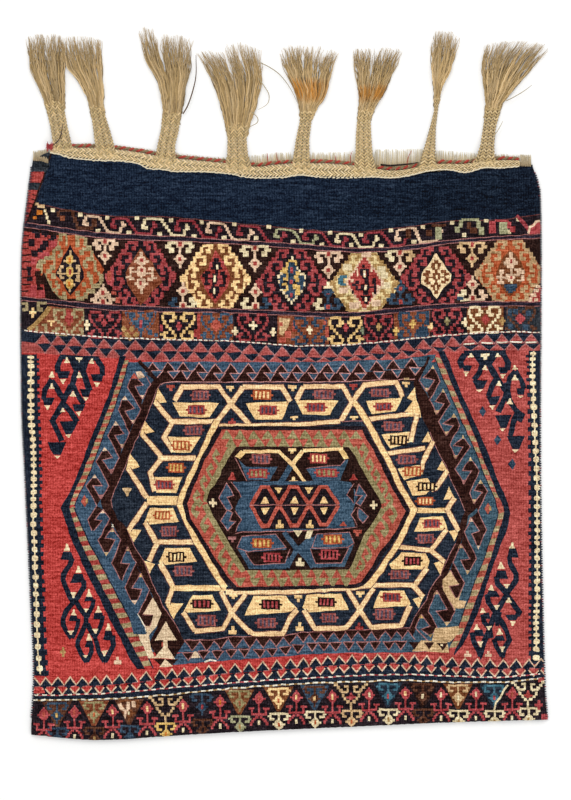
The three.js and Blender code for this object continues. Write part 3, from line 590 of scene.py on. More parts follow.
blocks("slate", (507.4, 309.6, 512.2, 316), (513.6, 309, 518, 314.4), (508, 323.4, 513.3, 329),
       (525.2, 310.4, 531, 316.2), (522.4, 324, 528.2, 330))
stepped("rose", 520, 318.5, 4.5, 5)
row_line("pink", 1.1, DOTTED, 24, 541, 0.2)
row_line("white", 1.2, DOTTED, 24, 541, 0.0, 3.4, 1.9)


# The upper border of triangles
UPPER_POINTS = (43, 58, 74, 89.5, 104, 119, 135.5, 152, 168, 184, 200, 216, 232, 250, 266, 282, 299, 313,
                329.5, 345, 360.5, 377, 392, 407, 423, 438, 452, 469, 487, 502, 516, 531)


def triangle_row(points, upper, lower, sizes, dyes, outline, width, shift):
    """Triangles that stand on a line, and the ones that hang between them below it."""
    for before, x, after in zip((2 * points[0] - points[1],) + points, points,
                                points[1:] + (2 * points[-1] - points[-2],)):
        left, right = (x + before) / 2 + 0.8, (x + after) / 2 - 0.8
        top, base, foot = upper(x) + sizes[0], upper(x) + sizes[1], lower(x)
        fill(dyes[0], (x, top), (right, base), (left, base))
        line(outline, width, (left - 1, base), (x, top), (right + 1, base))
        fill(dyes[1], (left + shift - 0.5, base + 0.4), (right + shift + 0.5, base + 0.4),
             (x + shift, foot))
        line(outline, width * 0.9, (left + shift - 1, base + 0.2), (x + shift, foot),
             (right + shift + 1, base + 0.2))


strip("russet", DOTTED, FIELD_TOP, *WIDE, 11.4, 0.6)
triangle_row(UPPER_POINTS, DOTTED, lambda x: FIELD_TOP(x) - 0.4, (2.0, 11.2), ("russet", "navy"), "pink",
             0.9, 2.0)
for x in (469, 487, 502, 516, 531):
    block("white", x - 5.5, DOTTED(x) + 9.6, x + 5.5, DOTTED(x) + 11)


# The red field: its ground, the toothed side strips and their beads
def bent(*knots):
    """A bent line through its knots, as a function of the first number of each."""
    def value(at):
        k = 0
        while k < len(knots) - 2 and at > knots[k + 1][0]:
            k += 1
        (x_a, y_a), (x_b, y_b) = knots[k], knots[k + 1]
        return y_a + (y_b - y_a) * (at - x_a) / (x_b - x_a)
    return value


def rows(start, end, step):
    """Rows a step apart, down to an end."""
    return [start + step * k for k in range(int((end - start) / step) + 1)]


def upright(dye, left, right, start, end):
    """All that lies between two lines that run down the bag."""
    steps = evenly(start, end, COLUMN_STRIDE)
    fill(dye, *[(left(y), y) for y in steps], *[(right(y), y) for y in reversed(steps)])


def peak(dye, x, top, base, half=3.0):
    """A small triangle with a blunt tip, pointing up, or down if its base is above its top."""
    bend = base + (top - base) * 0.55
    low = base + (top - base) * 0.16
    fill(dye, (x - 0.9, top), (x + 0.9, top), (x + half * 0.45, bend), (x + half * 0.95, low),
         (x + half, base), (x - half, base), (x - half * 0.95, low), (x - half * 0.45, bend))


def tee(dye, x, top, foot, half=4.0):
    """A small T, upside down if its foot is above its top."""
    third = top + (foot - top) * 0.5
    fill(dye, (x - half, top), (x + half, top), (x + half, third), (x - half, third))
    fill(dye, (x - 1.4, third), (x + 1.4, third), (x + 1.4, foot), (x - 1.4, foot))


def comb(left, top, right, bottom, frame, bars):
    """A small box with upright bars in it and a prong on each side."""
    middle, wide = (top + bottom) / 2, (right - left) / 9
    block(frame, left - 2.2, middle - 1.0, right + 2.2, middle + 1.0)
    block(frame, left, top, right, bottom)
    for k in range(4):
        x = left + wide * (1 + 2 * k)
        block(bars, x, top + 1.3 + (k % 2) * 0.5, x + wide, bottom - 1.8 + (k % 2) * 0.5)


LEFT_STRIP = bent((350, 37), (410, 38), (455, 39.6), (510, 40), (550, 41.2), (600, 43), (650, 44.6),
                  (676, 46.5))
RIGHT_STRIP = bent((345, 528.4), (400, 529.6), (450, 530.6), (560, 531), (662, 531))
LEFT_BEADS = bent((357, 31), (418, 31), (439, 33), (472, 34), (524, 33.5), (558, 35), (594, 36),
                  (635, 37.2), (658, 38.6), (674, 40.4))
RIGHT_BEADS = bent((353, 533), (376, 532.5), (425, 534.5), (459, 536), (487, 537.2), (550, 537.3),
                   (600, 537), (625, 536), (660, 536.4))
LEFT_ROWS = (357, 361.6, 366.2, 374, 382, 390, 396, 404.6, 411, 418, 425, 432, 439, 446, 452.6, 459, 465.4,
             472.4, 479, 485.6, 492, 499, 506, 515, 524, 533, 541.6, 549.6, 558, 567, 577, 585.4, 594, 604,
             614, 624.6, 635, 646.4, 658, 668)
RIGHT_ROWS = (353.5, 359, 364.8, 370, 376.5, 383, 391, 399, 407, 416, 425, 433.5, 442.5, 451, 459.5, 468.5,
              478, 487.5, 498, 506.5, 514.5, 522.5, 530, 537, 543, 550.5, 558, 566, 573.5, 581, 589, 597.5,
              605, 611.5, 617, 623, 628.5, 635, 641.5, 649, 657.5)
strip("madder", FIELD_TOP, LOWER_POINTS, *WIDE, 0, 10)
upright("navy", bent((345, 16), (700, 16)), LEFT_STRIP, 354.5, 676)
upright("navy", RIGHT_STRIP, bent((345, 556), (700, 556)), 350.5, 664)
line("ivory", 1.5, *[(LEFT_BEADS(y), y) for y in rows(355, 674, 11)])
line("ivory", 1.5, *[(RIGHT_BEADS(y), y) for y in rows(351, 660, 10)])


for strip_edge, beads, bead_rows, way in ((LEFT_STRIP, LEFT_BEADS, LEFT_ROWS, 1),
                                          (RIGHT_STRIP, RIGHT_BEADS, RIGHT_ROWS, -1)):
    for y, below in zip(bead_rows, bead_rows[1:] + (2 * bead_rows[-1] - bead_rows[-2],)):
        octagon("ivory", beads(y), y, 3.5 if y < 430 and way > 0 else 3.0, min(2.7, (below - y) * 0.3), 0.6)
        middle, half = (y + below) / 2, (below - y) * 0.27
        ends = sorted((strip_edge(middle) - way, strip_edge(middle) + way * (2.2 + y * 7 % 3 * 0.3)))
        block("navy", ends[0], middle - half, ends[1], middle + half)


# The big hexagon: a navy line, a chequered line and a blue band, with a brown hexagon inside
NAVY_LEFT = bent((355, 120), (380, 113.5), (400, 107), (420, 98.5), (440, 90), (460, 83), (480, 75.5),
                 (500, 66), (508, 60), (520, 65), (540, 71.5), (560, 81), (580, 90), (600, 100.5),
                 (620, 110), (640, 121), (660, 130), (669, 137))
CHECK_LEFT = bent((355, 126), (380, 118.5), (400, 111.5), (420, 104), (440, 96), (460, 88), (480, 80),
                  (500, 71), (508, 69.5), (520, 73), (540, 79.5), (560, 89), (580, 99), (600, 109.5),
                  (620, 119), (640, 129.5), (669, 145))
BLUE_LEFT = bent((355, 130), (380, 123.5), (400, 117), (420, 110), (440, 101.5), (460, 94.5), (480, 87),
                 (500, 75.5), (508, 74.5), (520, 79), (540, 88), (560, 98.5), (580, 109), (600, 119.5),
                 (620, 130), (640, 141), (669, 153))
NAVY_RIGHT = bent((351, 444.5), (360, 448.5), (380, 456), (400, 464.5), (420, 473.5), (440, 483),
                  (460, 490.5), (480, 497.5), (500, 507), (510, 510), (520, 510), (530, 506.5),
                  (540, 502.5), (560, 495), (580, 488), (600, 482.5), (620, 474.5), (640, 465.5),
                  (650, 460), (655, 454))
CHECK_RIGHT = bent((351, 438), (360, 441.5), (380, 450), (400, 458.5), (420, 467.5), (440, 476),
                   (460, 483.5), (480, 491.5), (500, 500.5), (510, 504), (520, 502.5), (540, 496),
                   (560, 490), (580, 483), (600, 476), (620, 468.5), (640, 460), (655, 453))
BLUE_RIGHT = bent((351, 433), (360, 436), (380, 443.5), (400, 453), (420, 461.5), (440, 470.5), (460, 479),
                  (480, 486.5), (500, 495.5), (510, 498.5), (520, 497), (540, 490), (560, 483.5),
                  (580, 475.5), (600, 468), (620, 461), (640, 453), (655, 446))
upright("navy", NAVY_LEFT, CHECK_LEFT, 356, 669)
upright("navy", CHECK_RIGHT, NAVY_RIGHT, 351, 655)
upright("blue", BLUE_LEFT, BLUE_RIGHT, 362, 652)


def chequer(left, right, start, end, dyes, step, slant):
    """Bars of dye in turn, one below the other, between two lines."""
    for k, y in enumerate(rows(start, end - step, step)):
        fill(dyes[k % len(dyes)], (left(y), y), (right(y), y - slant), (right(y + step), y + step - slant),
             (left(y + step), y + step))


chequer(CHECK_LEFT, BLUE_LEFT, 361, 508, ("khaki", "coral"), 3.7, 0.8)
chequer(CHECK_LEFT, BLUE_LEFT, 508, 669, ("khaki", "brick"), 4.8, 1.5)
chequer(BLUE_RIGHT, CHECK_RIGHT, 357, 505, ("khaki", "coral"), 5.6, -0.8)
chequer(BLUE_RIGHT, CHECK_RIGHT, 507, 653, ("coral", "khaki"), 6.4, 0.9)
line("navy", 1.3, *[(BLUE_LEFT(y) + 0.3, y) for y in rows(508, 668, 10)])
line("navy", 1.0, *[(BLUE_LEFT(y) + 0.2, y) for y in rows(362, 507, 12)])
line("night", 1.0, *[(BLUE_RIGHT(y) - 0.2, y) for y in rows(356, 652, 12)])

BROWN_LEFT_TOP = ((151, 383), (140, 408), (129, 434.5), (118.5, 458), (107.5, 485), (101, 498))
BROWN_LEFT_LOW = ((104, 510), (110, 521), (121.5, 540), (136, 563), (149.5, 590), (157, 602), (163, 614))
BROWN_RIGHT_TOP = ((419, 382), (430, 399), (438, 414), (447, 435), (456.5, 457.5), (465, 483), (474, 502))
BROWN_RIGHT_LOW = ((468, 516), (464.5, 534), (453, 561), (442, 588), (428, 611), (416, 628))
fill("brown", (160, 374), (410, 370), *BROWN_RIGHT_TOP, (477, 508), *BROWN_RIGHT_LOW, (411, 641),
     (184, 650), (176, 640), *reversed(BROWN_LEFT_LOW), (101, 503), *reversed(BROWN_LEFT_TOP))
INSIDE = ((161, 383), (172, 382), (290, 382), (414, 380), (414, 386), (418, 402), (422, 418), (430, 432),
          (434, 443), (440, 455), (446, 466), (450, 478), (456, 490), (462, 503), (465, 511), (463, 515),
          (459, 530), (455, 543), (448, 558), (440, 575), (436, 580), (430, 590), (426, 600), (419, 610),
          (414, 618), (410, 628), (358, 630), (302, 632.5), (280, 636.5), (229, 637.5), (212, 640),
          (183, 641), (181, 635), (176, 625), (170, 616), (163, 606), (157, 592), (150, 578), (145, 563),
          (134, 546), (127, 528), (118, 519), (112, 508), (111, 500), (117, 485), (125, 467), (133, 447),
          (140, 432), (146, 418), (152, 403), (156, 390))
fill("night", *INSIDE)
line("pink", 0.7, *INSIDE[7:15])
line("pink", 0.8, *INSIDE[-22:-10])
line("pink", 0.7, *INSIDE[-9:], INSIDE[0])
line("pink", 0.8, *INSIDE[17:26])


def brown_hooks(before, last, up, *hooks):
    """Brown hooks along one side of the brown hexagon, each over a bay: from the far end to the waist.

    A hook has its elbow, the two corners of its blunt end and the two of its head's inner edge.
    Its bay has a foot and a corner.
    """
    for number, (tip, bay, base, *places) in enumerate(hooks):
        elbow, end_a, end_b, inner, notch, foot, corner = places
        beyond = hooks[number + 1][-1] if number + 1 < len(hooks) else last
        fill(bay, before, corner, foot, elbow)
        fill(base, (foot[0] - 2.8, foot[1] - 4 * up), (foot[0] + 2.8, foot[1] - 4 * up),
             (foot[0] + 0.8, foot[1]), (foot[0] - 0.8, foot[1]))
        fill("brown", elbow, end_a, end_b, inner, notch,
             (notch[0] * 0.35 + foot[0] * 0.65, notch[1] * 0.35 + foot[1] * 0.65), foot, beyond)
        line("pink", 0.9, before, corner, foot)
        line("pink", 0.9, foot, notch, inner, end_b)
        line("pink", 0.9, end_a, elbow, beyond)
        if abs(end_a[0] - end_b[0]) > 2.6:
            middle = (end_a[0] + end_b[0]) / 2
            fill(tip, (end_a[0], end_a[1] - 0.4 * up), (end_b[0], end_b[1] - 0.4 * up),
                 (middle, end_a[1] - 4.6 * up))
        before = elbow


brown_hooks((146, 377), (97, 506), 1,
            ("coral", "blue", "blush", (127.5, 387), (131, 379), (138, 379), (143, 385.5), (135, 386.5),
             (142.5, 399), (151, 384.5)),
            ("blush", "blue", "blush", (119, 410), (122, 400.5), (128, 400.5), (134.5, 409), (125, 411),
             (133, 424), (141, 409.5)),
            ("blush", "blue", "blush", (108, 436), (113, 425.5), (118.5, 425.5), (124, 433.5), (115, 435.5),
             (122, 448), (129.5, 433)),
            ("blush", "blue", "pink", (96.5, 461.5), (102, 451.5), (108, 451.5), (112.5, 457.5), (102, 460),
             (112, 473), (119, 457.5)),
            ("blush", "blue", "pink", (86.5, 485.5), (92, 478.5), (97.5, 478.5), (102, 485.5), (93, 485.5),
             (101, 499), (109, 486)))
brown_hooks((147, 634), (97, 506), -1,
            ("blush", "straw", "straw", (138, 615), (145, 626), (149.5, 626), (155, 615), (143, 615),
             (152.5, 598), (163, 613.5)),
            ("blush", "blue", "gold", (125, 587.5), (131, 600), (138, 600), (142, 589), (132, 588),
             (140.5, 573), (149.5, 590)),
            ("blush", "blue", "straw", (112, 563), (119.8, 579), (122, 580), (129.5, 564), (120.5, 563),
             (127.5, 547), (136, 562.5)),
            ("straw", "blue", "straw", (98.5, 540), (104, 551.5), (109, 551.5), (115, 540), (105, 538),
             (112, 528), (121, 539.5)),
            ("blush", "blue", "blush", (87.5, 519.5), (92, 530.5), (94, 531), (102, 520.5), (95, 519.5),
             (103.5, 509), (110, 519)))
brown_hooks((428, 358), (478, 511), 1,
            ("straw", "blue", "straw", (440, 381), (434.6, 369.5), (431, 369.5), (423.5, 377.5),
             (434.5, 380), (427, 391.5), (419, 381)),
            ("straw", "blue", "straw", (450, 404), (444.5, 393), (441, 393), (435, 401.5), (444, 403.5),
             (437, 414.5), (430, 399.5)),
            ("straw", "blue", "straw", (460, 426), (456, 418), (451, 418), (443, 423.5), (453, 425.5),
             (446, 435.5), (438.5, 422)),
            ("straw", "blue", "straw", (470, 446.5), (464.5, 439), (461, 438.5), (453.5, 445.5),
             (462.5, 447), (456, 459), (449.5, 444.5)),
            ("straw", "blue", "pink", (479.5, 471), (472.5, 461), (468, 461), (462, 470.5), (471.5, 471),
             (464, 484), (455, 468.5)),
            ("straw", "blue", "straw", (487, 491), (483, 484.5), (478, 484), (474.5, 490.5), (482, 492),
             (474.5, 503), (469, 493)))
brown_hooks((428, 641), (478, 511), -1,
            ("camel", "blue", "gold", (437, 627), (433, 633), (428, 634.5), (421, 629), (430, 626),
             (421.5, 614), (415, 628)),
            ("straw", "blue", "straw", (454.5, 611), (450, 621), (444, 621.5), (436.5, 611), (447.5, 609.5),
             (436.5, 590.5), (428, 611)),
            ("blush", "straw", "straw", (464.5, 583), (458, 597), (455.5, 598), (449.5, 586),
             (458.5, 584.5), (450.5, 570), (442, 586)),
            ("straw", "blue", "straw", (476.5, 558.5), (470, 570), (465, 570), (460.5, 560), (470, 558.5),
             (461, 544), (453, 562)),
            ("blush", "blue", "blush", (486.5, 530), (479.8, 545), (477, 545), (471.5, 534), (479.5, 531),
             (471, 517.5), (464.5, 532)))
fill("blush", (135.6, 372), (141.4, 371), (145, 377.4), (138.4, 378.6))
fill("coral", (131, 378.6), (134, 373), (138.4, 378.6))
for x, y in ((84.5, 501), (488, 508.5)):
    diamond("coral", x, y, 3.4, 6)
    block("camel", x + 1.2, y - 2.4, x + 3.4, y + 2.2)
peak("white", 112, 524, 527, 1.4)


# The brown and blue triangles along the top and the bottom of the hexagon
def band_points(tops, bases, stand, hang, outline, depth):
    """Triangles that stand in a row, and a second row that hangs from the first row's feet."""
    for x, y in tops:
        fill(stand, (x - 0.5, y), (x + 0.5, y), (x + 6.6, y + 9.9), (x - 6.6, y + 9.9))
        line(outline, 0.9, (x - 7, y + 9.3), (x, y), (x + 7, y + 9.3))
    for x, y in bases:
        fill(hang, (x - 6.2, y), (x + 5.2, y), (x + 0.4, y + depth), (x - 0.6, y + depth))
        line(outline, 0.9, (x - 6.2, y), (x - 0.2, y + depth), (x + 5.4, y), (x - 6.2, y))


fill("blue", (132, 362), (170, 361.5), (300, 362.5), (400, 359), (436, 354), (434, 360), (418, 373),
     (300, 373.5), (152, 373.5))
fill("brown", (146, 374), (160, 370.6), (195, 371.4), (215, 372.6), (300, 372.8), (350, 372.4), (380, 371),
     (398, 369.4), (417, 366.6), (425, 366), (417, 381), (290, 382.4), (158, 382.4))
band_points(((152.8, 362.6), (168.3, 362), (183.3, 362.4), (199.4, 362.9), (215.6, 363.5), (231.1, 363.6),
             (248.3, 363.7), (265, 363.6), (281.1, 363.8), (296.7, 364.6), (311.7, 363.9), (327.2, 363.5),
             (343.3, 363.7), (358.9, 363.1), (376.7, 361), (393.3, 359.5), (411.6, 358.4)),
            ((157, 370.6), (174, 371.2), (187.4, 371.1), (203.4, 372.5), (219.8, 372.8), (235.8, 373),
             (253, 372.9), (270.2, 372.6), (285.2, 372.7), (298.7, 373), (313.9, 372.9), (329.4, 372.7),
             (345.2, 373.1), (361, 372.8), (379.2, 371.6), (397.6, 369.6), (415.4, 367.4)),
            "brown", "blue", "petal", 8)
line("brown", 4, (139, 361), (154, 377), (160, 384))
line("brown", 2.6, (429, 357), (420.6, 374), (414.6, 384))
line("petal", 0.9, (161, 385), (163.6, 382.6), (172, 382), (290, 382), (350, 381.5), (415, 379))
line("straw", 2.2, (404, 379.5), (409, 378.6))

fill("brown", (180, 641), (212, 640), (229, 637.5), (280, 636.6), (302, 632.6), (358, 630), (410, 628),
     (412, 641.4), (402, 641.3), (358, 641.9), (312, 643.1), (298, 645.3), (285, 647), (260, 649.4),
     (230, 650), (204, 651.2), (185, 652.2))
fill("blue", (173, 654), (189, 650.9), (208, 650.1), (234, 648.7), (263, 648.2), (288, 645.3), (301, 643.6),
     (316, 641.9), (362, 640.8), (411, 640.3), (413, 652), (347, 652.6), (302, 654.6), (290, 656),
     (240, 659.4), (218, 661), (173, 665))
band_points(((185, 641), (199.6, 641), (214.3, 640.9), (228.2, 638.5), (242.9, 637.7), (256.8, 639),
             (270.2, 638.4), (283.3, 636.6), (297, 634), (309.5, 633.2), (321.1, 632.7), (333.5, 632.2),
             (345.8, 632), (358, 631.6), (371.4, 631.2), (385.4, 630.8), (397, 630.6), (408, 630.2)),
            ((188.6, 652.4), (203.9, 650.7), (217.8, 650.8), (231.6, 649.7), (244.8, 649.1), (259.8, 649.6),
             (272.4, 648.6), (285.8, 646.8), (298.4, 645.1), (312.6, 643.1), (324.3, 642.5), (335.8, 642.3),
             (349, 641.9), (362.5, 641.7), (375.3, 641.6), (389.3, 641.5), (401, 641.3)),
            "blue", "brown", "pink", 8.2)
line("pink", 0.9, (183.5, 640), (212.5, 639.6), (229, 637), (280, 636.4), (302, 632.2), (358, 629.8),
     (410.5, 627.8))
fill("chalk", (191, 658), (193.6, 652), (195.6, 650.6), (197.4, 652), (200.6, 657.6))
line("white", 1.6, (204.7, 662), (210, 660), (216.4, 660.6))


# The cloth's mended corners, woven in undyed yarn
fill("brown", (153, 593), (161, 606), (173, 621.6), (185, 641.6), (174, 657.8), (158.6, 658.6),
     (149, 642.6), (157.2, 626.9), (152.2, 609))
fill("chalk", (152.7, 597.2), (162, 613.4), (156, 626.7), (149.2, 635), (146.4, 633.6), (150, 626.2),
     (154, 614.6), (143.8, 613.7))
fill("blue", (128, 612), (137.6, 614), (147.5, 633), (134, 634.2))
line("white", 0.9, (137.6, 614), (143, 622.5), (146.5, 632))
fill("brown", (142.2, 616.2), (153.5, 615.7), (148.9, 625.9), (147.3, 626.1))
line("blush", 2.2, (145, 627.6), (149, 627.6))
fill("chalk", (138.4, 634.4), (149.3, 633.8), (149.8, 642.2), (153.4, 654), (155, 657), (173, 656.4),
     (175, 658.4), (148.4, 658.4))
fill("chalk", (165.8, 620.8), (176.6, 640.1), (154.6, 640.4))
fill("chalk", (163.4, 640), (167.5, 640), (168.2, 647.6), (174.3, 657.3), (154.9, 657.6), (163, 647))
line("coral", 1.4, (162.6, 642), (161.8, 646.4))
fill("brown", (153, 659.2), (178.4, 658.6), (173, 664.6), (160.6, 665.4))
fill("chalk", (165.2, 658.9), (173, 666.3), (159.6, 666.8))
fill("straw", (450, 571), (459, 584), (448, 586), (455, 598), (458, 600.6), (466, 601), (464, 608),
     (454, 608), (443, 590), (442.4, 580))
fill("straw", (435, 628), (458, 626), (460, 630), (450, 642), (432, 641), (433, 635))
fill("straw", (412, 651), (421, 640), (447, 642), (449, 652.4), (430, 652))
for x, y in ((414, 642), (429, 642), (442, 643)):
    fill("brown", (x - 5.6, y), (x + 5.6, y), (x + 0.4, y + 7.6))
block("ivory", 440, 644, 442.6, 646)


# The cream outlines of the six-sided figures round the ring, and the combs in them
def outlines(dye, *strokes, edge=None):
    """Strokes of one dye, each with its width, over a wider edge if one is given."""
    for width, *places in strokes if edge else ():
        line(edge, width + 1.6, *places)
    for width, *places in strokes:
        line(dye, width, *places)


for shape in (((172.5, 402.4), (219, 402.4), (210, 417), (180, 417)),
              ((246, 403.4), (289.4, 401.6), (282, 419.4), (255, 419.4)),
              ((295.5, 400.3), (338.4, 400.3), (330, 414.8), (303, 414.8)),
              ((366, 401), (403, 397.2), (395.4, 411), (371.6, 414.3)),
              ((381, 434.5), (411, 431), (411, 442), (390, 448.6)),
              ((397.5, 468.6), (421, 465), (423, 474), (404, 480)),
              ((406, 481.4), (428, 478), (432.4, 488), (425.4, 494.4), (412.6, 495.4)),
              ((162, 437), (200.6, 437), (190.6, 452.4), (172, 452.4)),
              ((152.6, 477), (182, 477), (176, 492.6), (156.8, 492.6)),
              ((150, 508), (173, 508), (179.4, 521.6), (149, 524.4), (144.4, 522)),
              ((165, 548), (190, 548), (197, 561.4), (163.4, 565), (158.6, 562)),
              ((193, 595), (212, 595), (220.6, 610.6), (188.4, 612.6), (183, 612.4)),
              ((253.8, 595.8), (286, 595.8), (297, 609), (290, 612), (244.8, 615)),
              ((306.6, 594.6), (341, 593.2), (349, 609.4), (309, 612), (302.4, 607.4)),
              ((379.4, 591), (403.8, 590.2), (410.6, 604), (408, 605.8), (373, 608)),
              ((420, 517.6), (442.6, 515.8), (448, 530), (414.2, 531.6)),
              ((401.6, 552.4), (425, 553.4), (429.6, 560.4), (427, 569.4), (391.4, 568.8), (389.8, 564.4))):
    fill("cream", *shape)
block("cream", 147, 496, 183, 505)
block("cream", 415, 508, 447, 513)
for shape in (((158, 387.6), (167, 402), (153.4, 403.4)), ((145, 420.6), (154, 432), (139.6, 435)),
              ((130, 453.6), (140, 467), (126, 470)), ((127, 528.6), (141, 530), (133.6, 542)),
              ((144.4, 560.6), (155, 564), (149.6, 574), (147.4, 567)),
              ((170, 602.6), (183, 603.4), (173.6, 619), (166, 605)), ((449, 531), (459, 529), (454, 541)),
              ((434, 563), (445.4, 560), (440, 575)), ((412.6, 599), (424, 595.4), (418.6, 608)),
              ((415, 387), (416, 399), (420, 410), (421, 418), (408, 416), (404, 413), (410, 405),
               (413, 401), (407, 398)), ((428, 431.6), (433, 442), (422, 442)),
              ((442, 460.6), (448, 472), (437, 469.6)), ((448.6, 486), (454.6, 499), (444, 499.6))):
    fill("cream", *shape)
outlines("buff", (4.6, (155, 402), (171, 421)), (4.6, (142, 434), (161, 456)),
         (4.6, (128, 468), (147, 498)), (4.6, (147, 503), (129, 530)), (4.6, (170, 421.5), (217, 421.5)),
         (4.4, (172, 423), (164, 437.5), (173, 452)), (4.6, (158, 458), (196, 458)),
         (4.6, (162, 458), (150, 473), (155, 491)), (4.6, (145, 522), (156, 542)),
         (4.6, (155, 542), (198, 542)), (4.6, (157.6, 543), (149, 561)), (5, (160, 563), (173, 586)),
         (4.6, (172, 589), (167.6, 604)), (4.4, (183.4, 612), (195, 631)),
         (4.6, (194.6, 631), (223, 628.6), (231, 614)),
         (4.6, (181, 386.8), (219, 386.8), (231, 404), (249.5, 424.5)), (4.6, (182.5, 386.5), (174.6, 401)),
         (4.6, (243, 386.8), (231, 404), (217, 421)), (4.6, (243, 387), (282, 387), (290.4, 402)),
         (4.4, (303, 386.6), (342.6, 386.4), (352, 402), (355, 406)), (4.4, (303, 386.5), (296.8, 400)),
         (4.4, (352, 402), (364, 385), (396, 382), (402.6, 397)), (4.4, (352, 402), (340.6, 421)),
         (4, (367, 419.4), (408, 414.4)), (4.4, (417, 414), (411.6, 437), (411, 442)),
         (4.2, (386, 454), (425, 448)), (4.4, (433, 441), (423, 462), (421.6, 470)),
         (4.4, (447, 471), (436, 488), (431, 490)), (4.6, (454, 498), (447, 510)),
         (4, (219, 425.6), (249, 426), (300, 424.4), (340, 421.2)), (4.6, (447, 509), (458.6, 531)),
         (4.2, (399, 546.6), (431, 550.4), (444.6, 562)), (4.6, (447, 529), (432, 549)),
         (4.6, (427, 568), (415.4, 584.6)), (4.8, (412.6, 585), (423, 597)),
         (4.4, (221.4, 591), (231.6, 613), (250, 633)), (4.4, (245.4, 594), (231.6, 613)),
         (4.6, (226, 592), (290, 592), (319, 589.6), (347, 588), (367, 586), (376, 584.8), (413, 585)),
         (4.6, (248, 630), (253, 634), (282.6, 633.6), (290, 618), (297, 610)),
         (4.6, (304, 610), (314.6, 628.4), (346, 628), (359.6, 610)),
         (4.4, (348, 590), (359.6, 610), (371.6, 627.6)), (4.4, (373.6, 588), (359.6, 610)),
         (4.6, (371, 627.4), (401, 625.2), (410, 605.6)), edge="maroon")
line("pink", 0.9, (340, 421.2), (365, 421))
line("cream", 5.6, (170, 588), (226, 588))
DIAGONALS = (((217, 420.6), (212.5, 430), (208, 440), (203.5, 450), (199, 460), (194, 470), (189, 480),
              (184.8, 490), (180.5, 499), (180, 505), (184.6, 517), (191, 530), (196, 541), (204, 553.8),
              (211, 566), (218, 577), (225, 588)),
             ((354, 402), (360, 410), (366, 420), (372, 430), (377, 440), (382.5, 450), (388, 460),
              (393, 470), (397, 480), (402, 490), (408, 500), (414, 510), (409, 520), (404.5, 530),
              (400, 540), (393, 551), (386.5, 560), (380.5, 570), (373, 580), (368, 586)))
outlines("cream", *[(5.6, *places) for places in DIAGONALS], edge="maroon")
for box in ((188, 405, 205, 414.5), (156, 480, 173, 489.6), (259.5, 405.5, 277, 415),
            (307, 403, 325, 411.6), (375, 402.6, 391, 410.6), (382.6, 592.8, 400.4, 601.8),
            (424, 519, 440, 528)):
    comb(*box, "brick", "lilac")
for box in ((192, 390.5, 209, 400), (185, 425.5, 202, 435), (371, 388.5, 389, 397), (314, 390, 333.5, 399),
            (384, 421.5, 402, 430.5), (161.7, 526, 176.6, 536.5), (175, 566, 192, 576),
            (197.4, 615, 215.8, 625.7), (257.4, 618, 276, 628), (322, 613, 336, 622.4),
            (375, 608.6, 393, 619.6), (417.4, 534, 433, 543.4), (390.4, 570, 408.8, 579),
            (398, 455, 416, 464)):
    comb(*box, "mauve", "lilac")
for box in ((253, 390, 271, 400), (417, 497, 433, 505)):
    comb(*box, "rust", "cream")
for box in ((173, 440.5, 190, 450), (155, 511, 170.4, 519.6), (404, 466.6, 421, 476)):
    comb(*box, "rust", "apricot")
for box in ((390, 435.5, 407, 445), (418, 482, 435, 491), (168.4, 552, 184.6, 561.6)):
    comb(*box, "soot", "cream")
for box in ((192.4, 599.4, 211.4, 608.2), (261, 599.4, 280, 609.4), (317.4, 597.4, 334.6, 606.8),
            (403.8, 556.4, 420.6, 565.6)):
    comb(*box, "soot", "rose")
comb(168, 463, 184, 472.5, "rust", "gold")
for x, top, foot, dye in ((171, 385, 391, "coral"), (230.5, 386, 391.4, "cream"),
                          (292.5, 385, 391, "cream"), (353.5, 384, 390, "brick"), (406, 382, 387, "cream"),
                          (233.4, 594, 599, "cream"), (298.4, 595, 602, "cream"), (360, 591, 597, "cream"),
                          (232.6, 634, 626, "cream"), (299.8, 631, 622, "cream"),
                          (359.2, 629.6, 623, "brick"), (232, 424, 418, "brick"), (294, 416, 420, "cream"),
                          (354, 416, 420, "cream")):
    tee(dye, x, top, foot)
peak("straw", 127.2, 496, 488, 4.8)


# The olive and red ring
RING_OUT = ((222, 430), (362, 430), (367, 440), (373, 450), (378.5, 460), (383, 470), (388, 480),
            (393, 490), (399, 500), (405, 511), (398, 527), (389, 541), (379.6, 552), (372.6, 565),
            (361.4, 582), (354, 584), (300, 585.6), (237, 587), (227, 576), (219, 564), (211.4, 552),
            (205, 541), (199, 531), (191, 519), (187.6, 504), (192, 490), (197, 480), (201, 470),
            (205, 460), (211, 450), (216, 440))
RING_IN = ((236, 446.6), (349, 446.6), (357.2, 460), (362.4, 470), (368.2, 480), (373.8, 490), (380, 500),
           (382, 506), (374, 520), (365, 533), (359, 547), (353.6, 560), (349, 569.6), (246, 570.4),
           (238, 558), (230, 545), (222, 531), (211, 512), (206.5, 501), (210, 490), (218, 480), (222, 470),
           (227, 460))
fill("ink", *[(x + (x - 296) * 0.045, y + (y - 508) * 0.05) for x, y in RING_OUT])
fill("coral", *RING_OUT)
RING_HOOK = ((0.6, -5.2), (4.5, 1.9), (-0.8, 3.7), (2.4, 9.6), (4.8, 10.6), (7.6, 8.8), (3.8, 15.2),
             (0, 11.6), (-2.9, 7.4), (-4.2, 2.6), (-2.3, -1))


def ring_side(inner, out, turn, up, *hooks):
    """One side of the ring: an olive inner edge, and olive hooks that curl from it into the red."""
    edge = [(x - turn, y) for x, y in inner]
    fill("olive", *[(x + 4 * turn, y) for x, y in inner],
         *[(x + out[0], y + out[1]) for x, y in reversed(edge)])
    for x, y, size in hooks:
        fill("olive", *[(x + turn * size * a, y + up * size * b) for a, b in RING_HOOK])


